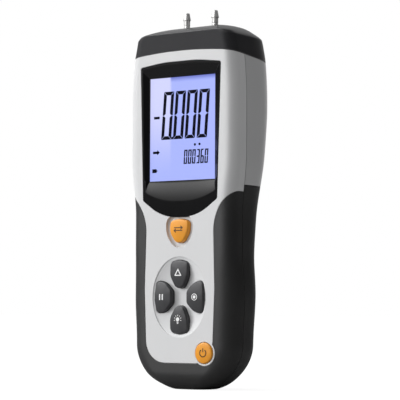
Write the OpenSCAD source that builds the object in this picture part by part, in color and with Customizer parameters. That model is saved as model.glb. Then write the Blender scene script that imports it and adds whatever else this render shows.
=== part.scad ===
// Handheld digital manometer with two hose ports, standing on its lower end.
// The face looks along -Y, the long axis is +Z, and the origin is under the middle of the housing.

/* [Housing] */
// Height of the housing without the hose ports
case_h = 210; // [206:1:216]
// Width of the display head
head_w = 75.5; // [74:0.5:78]
// Width of the belly of the handle
belly_w = 73.5; // [72:0.5:76]
// Width of the waist of the handle
waist_w = 70.2; // [69:0.1:71.5]
// Depth of the head from the front face to the back
head_d = 50.2; // [48:0.2:54]
// Depth of the handle from the front face to the back
handle_d = 35.6; // [35:0.1:39]
// Distance of the parting plane behind the front face
seam_d = 12; // [11.6:0.1:12.6]
// Radius of the front edges on the head
head_edge_r = 4; // [3:0.5:6]
// Radius of the front edges at the waist
waist_edge_r = 8; // [6:0.5:10]
// Radius of the front edges on the belly
belly_edge_r = 11.5; // [9:0.5:13]
// Thickness of the moulded walls
wall = 1.8; // [1.6:0.1:2]
// Thickness of the soft grip
grip_t = 1.4; // [1.1:0.1:1.6]

/* [Cap and ports] */
// Height of the cap's lower edge below the top, at the middle of the front
cap_h = 17.4; // [15:0.2:20]
// Thickness of the cap's wall
cap_wall = 2.4; // [2:0.1:2.8]
// Distance between the two hose ports
port_pitch = 20; // [18:0.5:24]
// Height of a port above the cap
port_h = 8.4; // [7:0.2:12]
// Diameter of a port's barb
barb_d = 4.6; // [4.2:0.1:5.4]
// Diameter of a port's shank
shank_d = 3.8; // [3.4:0.1:4.1]
// Diameter of a port's bore
port_bore_d = 2; // [1.6:0.1:2.4]

/* [Display] */
// Width of the housing left on each side of the display
view_side = 14.75; // [13.75:0.05:16.5]
// Height of the display as a share of the housing's height
view_h_share = 0.2838; // [0.26:0.0001:0.2856]
// Width of the frame beside the display, at its top
window_top_rim = 5.2; // [4:0.1:5.6]
// Width of the frame beside the display, at its lower corners
window_low_rim = 3; // [2:0.1:4]
// Depth of the display below the front face
bezel_d = 2; // [1.6:0.1:2.2]

/* [Keys] */
// Height of the keys above the front face
key_proud = 1.4; // [1.2:0.1:2]
// Travel of a key
key_travel = 0.8; // [0.5:0.1:0.8]
// Gap round a key
key_gap = 0.25; // [0.15:0.05:0.4]
// Width of the upper and lower keys
key_w = 12.8; // [11.6:0.2:13.2]
// Height of the upper and lower keys
key_h = 16; // [14.8:0.2:16.2]
// Width of the side keys
side_key_w = 12; // [10.8:0.2:12.4]
// Height of the side keys
side_key_h = 18.4; // [17:0.2:19]
// Width and height of the units key
units_key_w = 13.4; // [12:0.2:14]
// Diameter of the power key
power_key_d = 12; // [11:0.2:12.4]
// Width of the dish that holds the four keys
dish_w = 37; // [36:0.2:40]
// Height of the dish that holds the four keys
dish_h = 45.4; // [45:0.2:47]
// Depth of the dish
dish_d = 1.2; // [0.8:0.1:1.3]

/* [Back] */
// Width of the battery door
door_w = 36; // [35:0.5:38]
// Width of the tilt stand
stand_w = 32; // [28:0.5:34]
// Thickness of the tilt stand
stand_t = 2.4; // [2:0.1:2.6]
// Diameter of the stand's pivots
pivot_d = 3; // [2.6:0.1:3.2]
// Diameter of the tripod thread's core
tripod_d = 5.2; // [5:0.1:5.6]
// Depth of the tripod thread
tripod_depth = 8; // [6:0.5:9]

/* [Hidden] */
$fn = 48;

// Overrun of every cut, and the clearance between pieces that are put together
over = case_h;
fit = 0.15;
touch = 0.05;
skin = grip_t + wall;
front_y = key_proud - (head_d + key_proud)/2;
seam_y = front_y + seam_d;

// Lengthwise shape: shares of the height, each with a share of the width or depth named with it
belly_shares = [[0, 0.971], [0.14, 0.972], [0.25, 1]];
waist_shares = [[0.37, 1], [0.47, 1]];
head_shares = [[0.638, 1], [0.783, 1], [0.905, 0.963], [0.962, 0.908], [1, 0.895]];
handle_depth_shares = [[0, 0.936], [0.14, 0.96], [0.29, 1], [0.405, 1.044]];
head_depth_shares = [[0.695, 0.961], [0.79, 1], [0.905, 0.993], [1, 0.987]];
width_points = [
    for (s = belly_shares) [s[0]*case_h, s[1]*belly_w/2],
    for (s = waist_shares) [s[0]*case_h, s[1]*waist_w/2],
    for (s = head_shares) [s[0]*case_h, s[1]*head_w/2]];
depth_points = [
    for (s = handle_depth_shares) [s[0]*case_h, s[1]*handle_d],
    for (s = head_depth_shares) [s[0]*case_h, s[1]*head_d]];
edge_shares = [0.14, 0.25, 0.38, 0.48, 0.6];
edge_radii = [belly_edge_r, belly_edge_r, waist_edge_r, waist_edge_r, head_edge_r];
edge_points = [for (i = [0:len(edge_shares) - 1]) [edge_shares[i]*case_h, edge_radii[i]]];

// Rounded ends: the height over which each side draws in, how far, and how square the round is
end_side_h = 24.7;
end_side_in = 28.6;
end_front_h = 9.5;
end_front_in = 10.2;
end_power = 1.8;
foot_h = 0.6;
end_back_h = 24.6;
end_back_in = 12;
end_back_power = 2.4;
crown_side_h = 6.6;
crown_side_in = 12.3;
crown_side_power = 1.35;
crown_front_h = 4.6;
crown_front_in = 18;
crown_front_power = 1.25;
crown_back_h = 10.7;
crown_back_in = 13.4;
crown_back_power = 2.1;
dome_h = 4.4;
dome_share = 0.8;
back_power = 3.5;
least_flat = 0.3;
ring_count = 24;
edge_steps = 4;
back_steps = 13;
crown_ring_count = 5;
core_ring_count = 14;
core_crown_ring_count = 3;
core_edge_steps = 2;
core_back_steps = 8;

// Curve through [place, value] points, level at its ends and at each peak
function rise(p, i) = (p[i + 1][1] - p[i][1])/(p[i + 1][0] - p[i][0]);
function slope(p, i) =
    i == 0 || i == len(p) - 1 ? 0
    : rise(p, i - 1)*rise(p, i) <= 0 ? 0
    : (p[i + 1][1] - p[i - 1][1])/(p[i + 1][0] - p[i - 1][0]);
function blend(p, i, t) =
    let (d = p[i + 1][0] - p[i][0], s = (t - p[i][0])/d)
    p[i][1]*(1 - s)*(1 - s)*(1 + 2*s) + p[i + 1][1]*s*s*(3 - 2*s)
    + slope(p, i)*d*s*(1 - s)*(1 - s) - slope(p, i + 1)*d*s*s*(1 - s);
function curve(p, t, i = 0) =
    t <= p[0][0] ? p[0][1]
    : i >= len(p) - 1 ? p[len(p) - 1][1]
    : t <= p[i + 1][0] ? blend(p, i, t)
    : curve(p, t, i + 1);

// How far an end has drawn in: 0 where the round starts, 1 at its tip
function drawn(t, n) = t <= 0 ? 0 : 1 - pow(1 - pow(min(t, 1), n), 1/n);
function low(z, size, n = end_power) = drawn((size - z)/(size + foot_h), n);
function high(z, size, n) = drawn((z - case_h + size)/size, n);
function half_width(z) =
    curve(width_points, z) - end_side_in*low(z, end_side_h)
    - crown_side_in*high(z, crown_side_h, crown_side_power);
function front_at(z) =
    front_y + end_front_in*low(z, end_front_h) + crown_front_in*high(z, crown_front_h, crown_front_power);
function back_at(z) =
    front_y + curve(depth_points, z) - end_back_in*low(z, end_back_h, end_back_power)
    - crown_back_in*high(z, crown_back_h, crown_back_power);

// The top arches from side to side: how far a point sinks below its ring
function sunk(x, z) =
    let (rise = max(z/case_h - dome_share, 0)/(1 - dome_share), across = x/(0.5*head_w))
    dome_h*rise*rise*across*across;

// One ring of the housing at a share of its height, drawn in all round by an inset
function way(a) = a < 0 ? -1 : 1;
function soft_power(a) = way(a)*pow(abs(a), 2/back_power);
function ring(share, inset, edge_n, back_n) =
    let (
        z = share*case_h,
        w = half_width(z) - inset,
        f = front_at(z) + inset,
        b = back_at(z) - inset,
        r = min(max(curve(edge_points, z) - inset, least_flat), 0.9*w, 0.45*(b - f)),
        m = max(seam_y, f + r + least_flat),
        level = inset + share*(case_h - 2*inset),
        outline = [
            for (i = [0:edge_n])
                let (a = 180 + 90*i/edge_n) [r - w + r*cos(a), f + r + r*sin(a)],
            for (i = [0:edge_n])
                let (a = 270 + 90*i/edge_n) [w - r + r*cos(a), f + r + r*sin(a)],
            for (i = [0:back_n])
                let (a = 180*i/back_n) [w*soft_power(cos(a)), m + (b - m)*soft_power(sin(a))]])
    [for (p = outline) [p[0], p[1], level - sunk(p[0], z)]];

// Loft through rings of equal count, closed by a flat end below and a fan to a peak above
module loft(rings, peak) {
    n = len(rings[0]);
    last = len(rings) - 1;
    points = [for (r = rings) each r, peak];
    sides = [
        for (k = [0:last - 1], j = [0:n - 1])
            let (a = k*n + j, b = k*n + (j + 1)%n)
            each [[a, b + n, b], [a, a + n, b + n]]];
    fan = [for (j = [0:n - 1]) [last*n + j, (last + 1)*n, last*n + (j + 1)%n]];
    polyhedron(points, concat(sides, fan, [[for (j = [0:n - 1]) j]]), convexity = 6);
}

// Housing drawn in by an inset, with rings packed closer towards both ends, and its plainer hollow
pack_turn = 150;
crown_pack = 1.5;
function packed(t) = (1 - cos(pack_turn*t))/(1 - cos(pack_turn));
function station(k, n, m) =
    k <= n - m ? packed(k/(n - m))*(1 - crown_side_h/case_h)
    : 1 - crown_side_h/case_h*pow((n - k)/m, crown_pack);
module body(inset) {
    loft(
        [for (k = [0:ring_count])
            ring(station(k, ring_count, crown_ring_count), inset, edge_steps, back_steps)],
        [0, 0, case_h - inset]);
}
module core(inset) {
    loft(
        [for (k = [0:core_ring_count])
            ring(
                station(k, core_ring_count, core_crown_ring_count),
                inset, core_edge_steps, core_back_steps)],
        [0, 0, case_h - inset]);
}
module stretch(inset, z0, z1, n) {
    loft(
        [for (k = [0:n]) ring((z0 + (z1 - z0)*k/n)/case_h, inset, edge_steps, back_steps)],
        [0, 0, z1]);
}

// Outline with each corner rounded by its own radius
function unit(v) = v/norm(v);
function corner(a, p, b, r, steps) =
    let (
        u = unit(a - p),
        v = unit(b - p),
        half = acos(u*v)/2,
        c = p + unit(u + v)*r/sin(half),
        s = p + u*r/tan(half) - c,
        turn = (180 - 2*half)*way(v[0]*u[1] - v[1]*u[0]))
    [for (i = [0:steps])
        let (q = turn*i/steps) c + [s[0]*cos(q) - s[1]*sin(q), s[0]*sin(q) + s[1]*cos(q)]];
function rounded(points, radii, steps = 4) =
    let (n = len(points))
    [for (i = [0:n - 1])
        each corner(points[(i + n - 1)%n], points[i], points[(i + 1)%n], radii[i], steps)];
function mirrored(points) =
    [each points, for (i = [len(points) - 1:-1:0]) [-points[i][0], points[i][1]]];
function both(radii) = [each radii, for (i = [len(radii) - 1:-1:0]) radii[i]];

// Outline drawn in the X and Z plane and pushed through from one depth to another
module through(y0, y1) {
    translate([0, y1, 0])
        rotate([90, 0, 0])
            linear_extrude(y1 - y0)
                children();
}
module pin(d, x, z, y0, y1) {
    through(y0, y1)
        translate([x, z])
            circle(d = d);
}
module block(low_corner, high_corner) {
    translate(low_corner)
        cube(high_corner - low_corner);
}
module post(d, x, y, z0, z1) {
    translate([x, y, z0])
        cylinder(d = d, h = z1 - z0);
}

// Handle panel and the grip round it
grip_top_z = 0.551*case_h;
panel_side = 12.3;
panel_belly_side = 12.35;
panel_w = waist_w/2 - panel_side;
panel_belly_w = belly_w/2 - panel_belly_side;
panel_belly_z = 0.27*case_h;
panel_low_z = 15;
panel_corner_r = 13;
panel_flare_r = 26;
panel_points = [
    [panel_w, panel_low_z], [panel_belly_w, panel_belly_z], [panel_w, grip_top_z],
    [head_w, grip_top_z], [head_w, over]];
panel_radii = [panel_corner_r, 3*panel_flare_r, panel_flare_r, fit, fit];
power_in = 6.9;
power_x = panel_belly_w - power_in;
power_z = 21;
power_ring = 2.4;
power_well_d = power_key_d + 2*power_ring;
back_panel_side = 4;
back_panel_w = door_w/2 + back_panel_side;
back_panel_z = 9;
back_panel_r = 9;
back_panel_points = [[back_panel_w, back_panel_z], [back_panel_w, over]];

module front_panel_zone() {
    through(-over, seam_y)
        difference() {
            polygon(rounded(mirrored(panel_points), both(panel_radii)));
            translate([power_x, power_z])
                circle(d = power_well_d);
        }
}
module back_panel_zone() {
    through(seam_y, over)
        polygon(rounded(mirrored(back_panel_points), both([back_panel_r, back_panel_r])));
}
module below_grip_top() {
    block([-over, -over, -over], [over, over, grip_top_z]);
}
module front_side() {
    block([-over, -over, -over], [over, seam_y, 2*over]);
}
module grip_zone() {
    difference() {
        below_grip_top();
        front_panel_zone();
        back_panel_zone();
    }
}
module shell_skin() {
    body(grip_t);
    difference() {
        body(0);
        grip_zone();
    }
}

// Cap edge: a wide arch that falls towards the back
cap_edge_z = case_h - cap_h;
cap_arch_r = 223;
cap_fall = 4.8;
lip_h = 2.5;
lip_t = 1.2;
module below_cap(raised = 0) {
    translate([0, front_y, cap_edge_z + raised])
        rotate([-cap_fall, 0, 0])
            translate([0, 0, -cap_arch_r])
                rotate([-90, 0, 0])
                    translate([0, 0, -over])
                        cylinder(r = cap_arch_r, h = 3*over, $fn = 180);
}

// Depths behind the front face, from the display down to the board
inner_y = front_y + skin;
flange_t = 1.2;
lip_front_t = 0.5;
lens_t = 0.8;
lens_y = front_y + bezel_d + lip_front_t;
lcd_y = lens_y + lens_t;
lcd_t = 2.6;
back_light_t = 3;
strip_w = 2;
lcd_margin = 2;
strip_y = lcd_y + lcd_t;
board_gap = 3.6;
board_y = strip_y + board_gap;
board_t = 1.6;
board_back_y = board_y + board_t;
lens_margin = 1.5;
bezel_back_y = inner_y + touch + flange_t;

// Window of the display
view_w = head_w - 2*view_side;
view_h = view_h_share*case_h;
window_top_w = view_w/2 + window_top_rim;
window_low_w = view_w/2 + window_low_rim;
brow_h = 7.4;
view_brow_h = 6.6;
window_low_share = 0.47;
window_top_z = cap_edge_z - brow_h;
view_z = window_top_z - view_brow_h - view_h/2;
view_low_z = view_z - view_h/2;
window_sag_z = 0.4667*case_h;
window_low_z = window_sag_z + window_low_share*(view_low_z - window_sag_z);
window_crown = 2;
window_mid_w = 0.26*view_w;
window_corner_r = 1.4;
window_low_corner_r = 2;
window_sag_r = 0.65*view_w;
window_points = [
    [window_mid_w, window_sag_z], [window_low_w, window_low_z],
    [window_top_w, window_top_z], [window_mid_w, window_top_z + window_crown]];
window_radii = [window_sag_r, window_low_corner_r, window_corner_r, 3*window_sag_r];
bezel_rim = 0.8;
apron_rings = 4;
apron_power = 1.8;
meet_share = 0.02;

function window_line(grow) =
    [for (p = rounded(mirrored(window_points), both(window_radii)))
        p + grow*unit([p[0], p[1] - view_z])];
function onto_view(p) = [
    max(-view_w/2, min(view_w/2, p[0])),
    max(view_z - view_h/2, min(view_z + view_h/2, p[1]))];
function apron_ring(p_line, s) = [
    for (p = p_line)
        let (q = s*(1 - meet_share)*(onto_view(p) - p) + p)
        [q[0], front_y + bezel_d*pow(s, p[1] < view_low_z ? apron_power : 1), q[1]]];
module window_outline(grow) {
    polygon(window_line(grow));
}
module view_square(margin) {
    translate([-view_w/2 - margin, view_z - view_h/2 - margin])
        square([view_w + 2*margin, view_h + 2*margin]);
}
module apron_cut() {
    line = window_line(-bezel_rim);
    mouth = [for (p = line) [p[0], front_y - bezel_d, p[1]]];
    loft(
        [for (k = [apron_rings:-1:0]) apron_ring(line, k/apron_rings), mouth],
        [0, front_y - bezel_d, view_z]);
}

// Keys: outline of a shield with its tip down, its places and its depths
dish_z = 0.2495*case_h;
units_drop = 1.3;
units_z = window_sag_z - units_key_w/2 - units_drop;
key_rise = 13;
side_key_x = 11.2;
key_dome_r = 30;
key_flange = 0.9;
key_flange_t = 1;
key_stem_d = 5;
key_stem_h = 1.6;
units_recess = 2.8;
units_recess_d = 1;
dome_d = 7;
mat_t = 1;
key_flange_y = inner_y + touch;
key_stem_y = key_flange_y + key_flange_t + key_stem_h;
dome_y = key_stem_y + key_travel + 2*touch;
shield_shares = [[0.19, -0.5], [0.48, -0.07], [0.5, 0.42], [0.1, 0.5]];
shield_radius_shares = [0.26, 0.55, 0.2, 0.6];
function shield(w, h) =
    rounded(
        mirrored([for (s = shield_shares) [s[0]*w, s[1]*h]]),
        both([for (s = shield_radius_shares) s*min(w, h)]));
module shield_key_outline(w, h, x, z, turn, grow) {
    translate([x, z])
        rotate(turn)
            polygon(shield(w + 2*grow, h + 2*grow));
}
module key_solid(x, z) {
    intersection() {
        through(front_y - key_proud, inner_y + 2*touch)
            children(0);
        translate([x, front_y - key_proud + key_dome_r, z])
            sphere(r = key_dome_r, $fn = 96);
    }
    through(key_flange_y, key_flange_y + key_flange_t)
        children(1);
    pin(key_stem_d, x, z, key_flange_y, key_stem_y);
}
module units_outline(grow) {
    shield_key_outline(units_key_w, units_key_w, 0, units_z, 0, grow);
}
module difference_outline(grow) {
    shield_key_outline(key_w, key_h, 0, dish_z + key_rise, 0, grow);
}
module backlight_outline(grow) {
    shield_key_outline(key_w, key_h, 0, dish_z - key_rise, 180, grow);
}
module hold_outline(grow) {
    shield_key_outline(side_key_h, side_key_w, -side_key_x, dish_z, 90, grow);
}
module record_outline(grow) {
    shield_key_outline(side_key_h, side_key_w, side_key_x, dish_z, -90, grow);
}
module power_outline(grow) {
    translate([power_x, power_z])
        circle(d = power_key_d + 2*grow);
}
module key_holes() {
    through(-over, seam_y) {
        units_outline(key_gap);
        difference_outline(key_gap);
        backlight_outline(key_gap);
        hold_outline(key_gap);
        record_outline(key_gap);
        power_outline(key_gap);
    }
}
module key_dish() {
    flat = 0.25*dish_h*dish_h;
    ball_r = (flat + dish_d*dish_d)/(2*dish_d);
    intersection() {
        translate([0, front_y + dish_d - ball_r, dish_z])
            sphere(r = ball_r, $fn = 180);
        through(front_y - dish_d, front_y + 2*dish_d)
            translate([0, dish_z])
                polygon([for (i = [0:47]) [dish_w/2*cos(i*360/48), dish_h/2*sin(i*360/48)]]);
    }
}

// Screws that hold the two cases and the board
case_screw_in = 6.9;
low_screw_in = 7.2;
case_screw_x = head_w/2 - case_screw_in;
low_screw_x = belly_w/2 - low_screw_in;
case_screw_z = 0.81*case_h;
low_screw_z = 0.143*case_h;
case_screw_places = [
    [-case_screw_x, case_screw_z], [case_screw_x, case_screw_z],
    [-low_screw_x, low_screw_z], [low_screw_x, low_screw_z]];
case_boss_d = 6;
case_sleeve_d = 7.4;
case_screw_d = 2.2;
case_screw_head_d = 5.2;
case_screw_head_h = 2.2;
case_screw_land = 4;
case_screw_bite = 6;
board_screw_in = 15.75;
board_screw_low_in = 15.25;
board_screw_x = head_w/2 - board_screw_in;
board_screw_low_x = belly_w/2 - board_screw_low_in;
board_screw_drop = 15;
board_screw_places = [
    [-board_screw_x, view_low_z - board_screw_drop], [board_screw_x, view_low_z - board_screw_drop],
    [-board_screw_low_x, 0.095*case_h], [board_screw_low_x, 0.162*case_h]];
board_boss_d = 5;
board_screw_d = 2;
board_screw_head_d = 4;
board_screw_head_h = 1.4;
board_screw_bite = 4.5;
boss_root = 2;
low_boss_root = 4.8;

module front_case() {
    color("gainsboro")
        difference() {
            union() {
                difference() {
                    intersection() {
                        shell_skin();
                        front_side();
                        below_cap();
                    }
                    core(skin);
                }
                for (p = case_screw_places)
                    pin(case_boss_d, p[0], p[1],
                        front_y + (p[1] < grip_top_z ? low_boss_root : boss_root), seam_y);
                for (p = board_screw_places)
                    pin(board_boss_d, p[0], p[1], front_y + boss_root, board_y);
            }
            through(-over, seam_y)
                window_outline(fit);
            through(inner_y, seam_y) {
                window_outline(flange_t + fit);
                power_outline(key_flange + key_gap);
            }
            key_holes();
            key_dish();
            through(-over, front_y + units_recess_d)
                units_outline(units_recess);
            for (p = case_screw_places)
                pin(case_screw_d, p[0], p[1], seam_y - case_screw_bite, seam_y + over);
            for (p = board_screw_places)
                pin(board_screw_d, p[0], p[1], board_y - board_screw_bite, board_y + over);
        }
}

// Battery bay and its door
battery_w = 26.2;
battery_body_h = 46;
battery_spare_h = 8;
bay_clear = 2.7;
pad_t = 1.8;
pad_in = 2.2;
pad_short = 8.8;
stud_h = 2.5;
stud_d = 6;
stud_x = 6.35;
bay_gap = 0.4;
bay_wall = 1.2;
bay_low_z = 16.5;
bay_h = battery_body_h + battery_spare_h;
bay_top_z = bay_low_z + bay_h;
bay_front_y = board_back_y + bay_clear;
battery_y = bay_front_y + 0.5*bay_gap;
door_t = 2.2;
door_y = front_y + handle_d - door_t;
battery_depth = door_y - bay_front_y - bay_gap - pad_t;
door_edge = 2.5;
door_low_z = bay_low_z - door_edge;
door_screw_rise = 4.1;
door_top_rise = 4.4;
door_screw_z = bay_top_z + door_screw_rise;
door_top_z = door_screw_z + door_top_rise;
door_gap = 0.3;
door_r = 4;
door_rib_h = 1.5;
door_boss_d = 7;
door_screw_d = 2.9;
door_screw_head_d = 5.4;
door_screw_head_h = 1.2;
module bay_square(grow) {
    translate([-battery_w/2 - bay_gap - grow, bay_low_z - grow])
        square([battery_w + 2*bay_gap + 2*grow, bay_h + 2*grow]);
}
module door_outline(grow) {
    w = door_w/2 + grow;
    polygon(rounded(
        [[w, door_low_z - grow], [w, door_top_z + grow], [-w, door_top_z + grow],
            [-w, door_low_z - grow]],
        [door_r, door_r, door_r, door_r]));
}

// Tilt stand: a plate that lies in a sloped recess and turns on two pivots at its upper end
stand_bridge = 3;
stand_low_z = door_top_z + stand_bridge;
stand_axis_z = 0.576*case_h;
stand_low_y = back_at(stand_low_z);
stand_high_y = back_at(stand_axis_z);
stand_slope = atan((stand_high_y - stand_low_y)/(stand_axis_z - stand_low_z));
stand_gap = 0.4;
sag_steps = 8;
stand_sag = max([
    for (k = [0:sag_steps])
        let (share = k/sag_steps, z = stand_low_z + (stand_axis_z - stand_low_z)*share)
        stand_low_y + (stand_high_y - stand_low_y)*share - back_at(z)]);
stand_seat_t = stand_t + stand_sag + fit;
knuckle_r = 3.2;
knuckle_drop = 0.7;
stand_axis_y = stand_high_y - knuckle_r - knuckle_drop;
pivot_l = 2;
pivot_fit = 0.1;
tub_t = 1.6;
tub_side = pivot_l + stand_gap;
stand_neck = 2.1;
module stand_wedge(depth, grow, top, end_z) {
    translate([0, stand_low_y - depth, stand_low_z])
        rotate([-stand_slope, 0, 0])
            block(
                [-stand_w/2 - grow, 0, -grow],
                [stand_w/2 + grow, top, end_z - stand_low_z]);
}
module along_x(d, half) {
    translate([-half, stand_axis_y, stand_axis_z])
        rotate([0, 90, 0])
            cylinder(d = d, h = 2*half);
}
module stand_tub() {
    side = tub_side - stand_gap + 0.5*tub_t;
    intersection() {
        union() {
            stand_wedge(stand_seat_t + stand_gap + tub_t, side, stand_seat_t, stand_axis_z);
            along_x(2*(knuckle_r + stand_gap + tub_t), stand_w/2 + side + fit);
        }
        translate([0, stand_low_y - 1.5*tub_t, stand_low_z])
            rotate([-stand_slope, 0, 0])
                block([-over, -over, -over], [over, 0, over]);
    }
}
module stand_recess() {
    stand_wedge(stand_seat_t + stand_gap, stand_gap, over, stand_axis_z + knuckle_r);
    along_x(2*(knuckle_r + stand_gap), stand_w/2 + stand_gap + fit);
    along_x(pivot_d + 2*pivot_fit, stand_w/2 + stand_gap + pivot_l);
}

// Tripod bush in the back
tripod_z = 0.7*case_h;
tripod_bush_d = 9;
tripod_sunk = 0.7;
tripod_floor_t = 0.8;
tripod_face_y = back_at(tripod_z) - tripod_sunk;
tripod_bush_l = tripod_depth + tripod_floor_t;
tripod_boss_wall = 2;
tripod_boss_floor = 1.4;

module rear_case() {
    color("darkgray")
        difference() {
            union() {
                difference() {
                    intersection() {
                        shell_skin();
                        below_cap();
                    }
                    front_side();
                    core(skin);
                }
                for (p = case_screw_places)
                    pin(case_sleeve_d, p[0], p[1], seam_y, seam_y + case_screw_land + case_screw_head_h);
                through(bay_front_y - bay_wall, door_y)
                    bay_square(bay_wall);
                pin(door_boss_d, 0, door_screw_z, bay_front_y - bay_wall, door_y);
                stand_tub();
                pin(tripod_bush_d + 2*tripod_boss_wall, 0, tripod_z,
                    tripod_face_y - tripod_bush_l - tripod_boss_floor, tripod_face_y - tripod_boss_floor);
            }
            for (p = case_screw_places) {
                pin(case_screw_d + 2*fit, p[0], p[1], seam_y - over, over);
                pin(case_screw_head_d + 2*fit, p[0], p[1], seam_y + case_screw_land, over);
            }
            through(bay_front_y, over)
                bay_square(0);
            through(door_y, over)
                door_outline(door_gap);
            pin(door_screw_d + 2*fit, 0, door_screw_z, bay_front_y, over);
            block([-stud_x - stud_d/2, bay_front_y, bay_top_z - bay_wall],
                [-stud_x + stud_d/2, bay_front_y + stud_d/2, bay_top_z + 2*bay_wall]);
            block([stud_x - stud_d/2, bay_front_y, bay_top_z - bay_wall],
                [stud_x + stud_d/2, bay_front_y + stud_d/2, bay_top_z + 2*bay_wall]);
            stand_recess();
            pin(tripod_bush_d, 0, tripod_z, tripod_face_y - tripod_bush_l, over);
            pin(tripod_bush_d + 2*tripod_boss_wall, 0, tripod_z, tripod_face_y, over);
        }
}

module front_grip() {
    color([0.09, 0.09, 0.1])
        difference() {
            intersection() {
                body(0);
                grip_zone();
                front_side();
            }
            body(grip_t);
            power_well();
        }
}
module power_well() {
    through(-over, seam_y)
        power_outline(key_gap);
}
module rear_grip() {
    color([0.09, 0.09, 0.1])
        difference() {
            intersection() {
                body(0);
                grip_zone();
            }
            front_side();
            body(grip_t);
            for (p = case_screw_places)
                pin(case_screw_head_d + 2*fit, p[0], p[1], seam_y + case_screw_land, over);
        }
}

// Ports, their block and the seals
port_behind = 20.3;
port_y = front_y + port_behind;
port_flat_z = case_h - cap_wall;
seal_t = 0.5;
collar_t = 2.2;
collar_d = 6.4;
port_block_t = 4;
port_block_w = 37;
port_block_d = 11;
port_screw_x = 15.2;
port_screw_d = 2;
port_screw_head_d = 3.8;
port_screw_head_h = 1.5;
port_tail = 12;
port_barb_low = 4.1;
port_barb_mid = 2.4;
port_tip_d = 3.1;
tube_d = 6.4;
tube_gap = 1.4;
sensor_top_z = 0.799*case_h;
sensor_h = 17;
sensor_w = 30;
sensor_depth = 12;
nipple_h = 8;
seal_z = port_flat_z - seal_t;
collar_z = seal_z - collar_t;
port_block_z = collar_z - port_block_t;

module cap_shell() {
    difference() {
        union() {
            difference() {
                body(0);
                below_cap();
            }
            difference() {
                intersection() {
                    core(skin + fit);
                    below_cap(touch);
                }
                below_cap(-lip_h);
            }
        }
        core(skin + fit + lip_t);
        difference() {
            core(cap_wall);
            below_cap(lip_t);
        }
    }
}
module top_cap() {
    color([0.2, 0.2, 0.21])
        difference() {
            union() {
                cap_shell();
                for (x = [-port_screw_x, port_screw_x])
                    post(port_screw_head_d + lip_t, x, port_y, collar_z, case_h - cap_wall/2);
            }
            for (x = [-port_pitch/2, port_pitch/2]) {
                post(shank_d + 2*fit, x, port_y, port_flat_z - touch, over + case_h);
                post(collar_d + 2*fit, x, port_y, port_block_z, port_flat_z);
            }
            for (x = [-port_screw_x, port_screw_x])
                post(port_screw_d, x, port_y, port_block_z, case_h - cap_wall/2 - lip_t);
        }
}

module display_bezel() {
    color([0.13, 0.13, 0.14])
        difference() {
            union() {
                through(front_y + fit, inner_y + touch)
                    window_outline(0);
                through(inner_y + touch, bezel_back_y)
                    window_outline(flange_t);
            }
            apron_cut();
            through(-over, over)
                view_square(0);
            through(lens_y, over)
                view_square(lens_margin + fit);
            through(lcd_y, over)
                view_square(lcd_margin + fit);
            through(inner_y, over)
                units_outline(key_flange + key_gap);
        }
}
module display_lens() {
    color([0.85, 0.9, 1, 0.4])
        through(lens_y, lcd_y)
            view_square(lens_margin);
}
module lcd_glass() {
    color([0.7, 0.75, 1])
        through(lcd_y, strip_y)
            view_square(lcd_margin);
}
module backlight_panel() {
    color("white")
        difference() {
            through(strip_y, strip_y + back_light_t)
                view_square(lcd_margin);
            for (side = [-1, 1])
                translate([0, 0, view_z + side*(view_h/2 + lcd_margin)])
                    block([-over, -over, -2*strip_w], [over, over, 2*strip_w]);
        }
}
module elastomer_strips() {
    color("hotpink")
        for (side = [-1, 1])
            translate([0, 0, view_z + side*(view_h/2 + lcd_margin - strip_w)])
                block([-view_w/2, strip_y, -strip_w/2], [view_w/2, board_y, strip_w/2]);
}
module lcd_frame() {
    color("white")
        difference() {
            through(bezel_back_y, board_y)
                view_square(lcd_margin + lip_t);
            through(bezel_back_y - over, board_y + over)
                view_square(lcd_margin + fit);
        }
}

board_side = 10.75;
board_belly_side = 11.25;
board_w = head_w/2 - board_side;
board_handle_w = belly_w/2 - board_belly_side;
board_low_z = 13.5;
board_top_z = 0.885*case_h;
board_corner_r = 8;
module main_board() {
    color("darkgreen")
        difference() {
            through(board_y, board_back_y)
                polygon(rounded(
                    mirrored([
                        [board_handle_w, board_low_z], [board_handle_w, grip_top_z],
                        [board_w, grip_top_z + board_corner_r], [board_w, board_top_z]]),
                    both([board_corner_r, board_corner_r, board_corner_r, touch])));
            for (p = board_screw_places)
                pin(board_screw_d + 2*fit, p[0], p[1], board_y - over, board_y + over);
        }
}

chip_place_shares = [[-0.37, 0.31], [0.44, 0.29], [0.52, 0.08], [-0.59, -0.41], [-0.7, -0.66]];
chip_size_shares = [[0.44, 0.44], [0.33, 0.26], [0.22, 0.3], [0.26, 0.19], [0.19, 0.15]];
chip_t = 1.6;
capacitor_place_shares = [[0.7, -0.13], [0.74, 0.43]];
capacitor_d = 6;
capacitor_h = 7;
module board_components() {
    color([0.15, 0.15, 0.16])
        for (i = [0:len(chip_place_shares) - 1]) {
            x = chip_place_shares[i][0]*board_w;
            z = view_low_z + chip_place_shares[i][1]*view_h;
            half_w = chip_size_shares[i][0]*board_w/2;
            half_h = chip_size_shares[i][1]*board_w/2;
            block([x - half_w, board_back_y, z - half_h],
                [x + half_w, board_back_y + chip_t, z + half_h]);
        }
    color("steelblue")
        for (c = capacitor_place_shares)
            pin(capacitor_d, c[0]*board_w, view_low_z + c[1]*view_h,
                board_back_y, board_back_y + capacitor_h);
}

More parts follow.
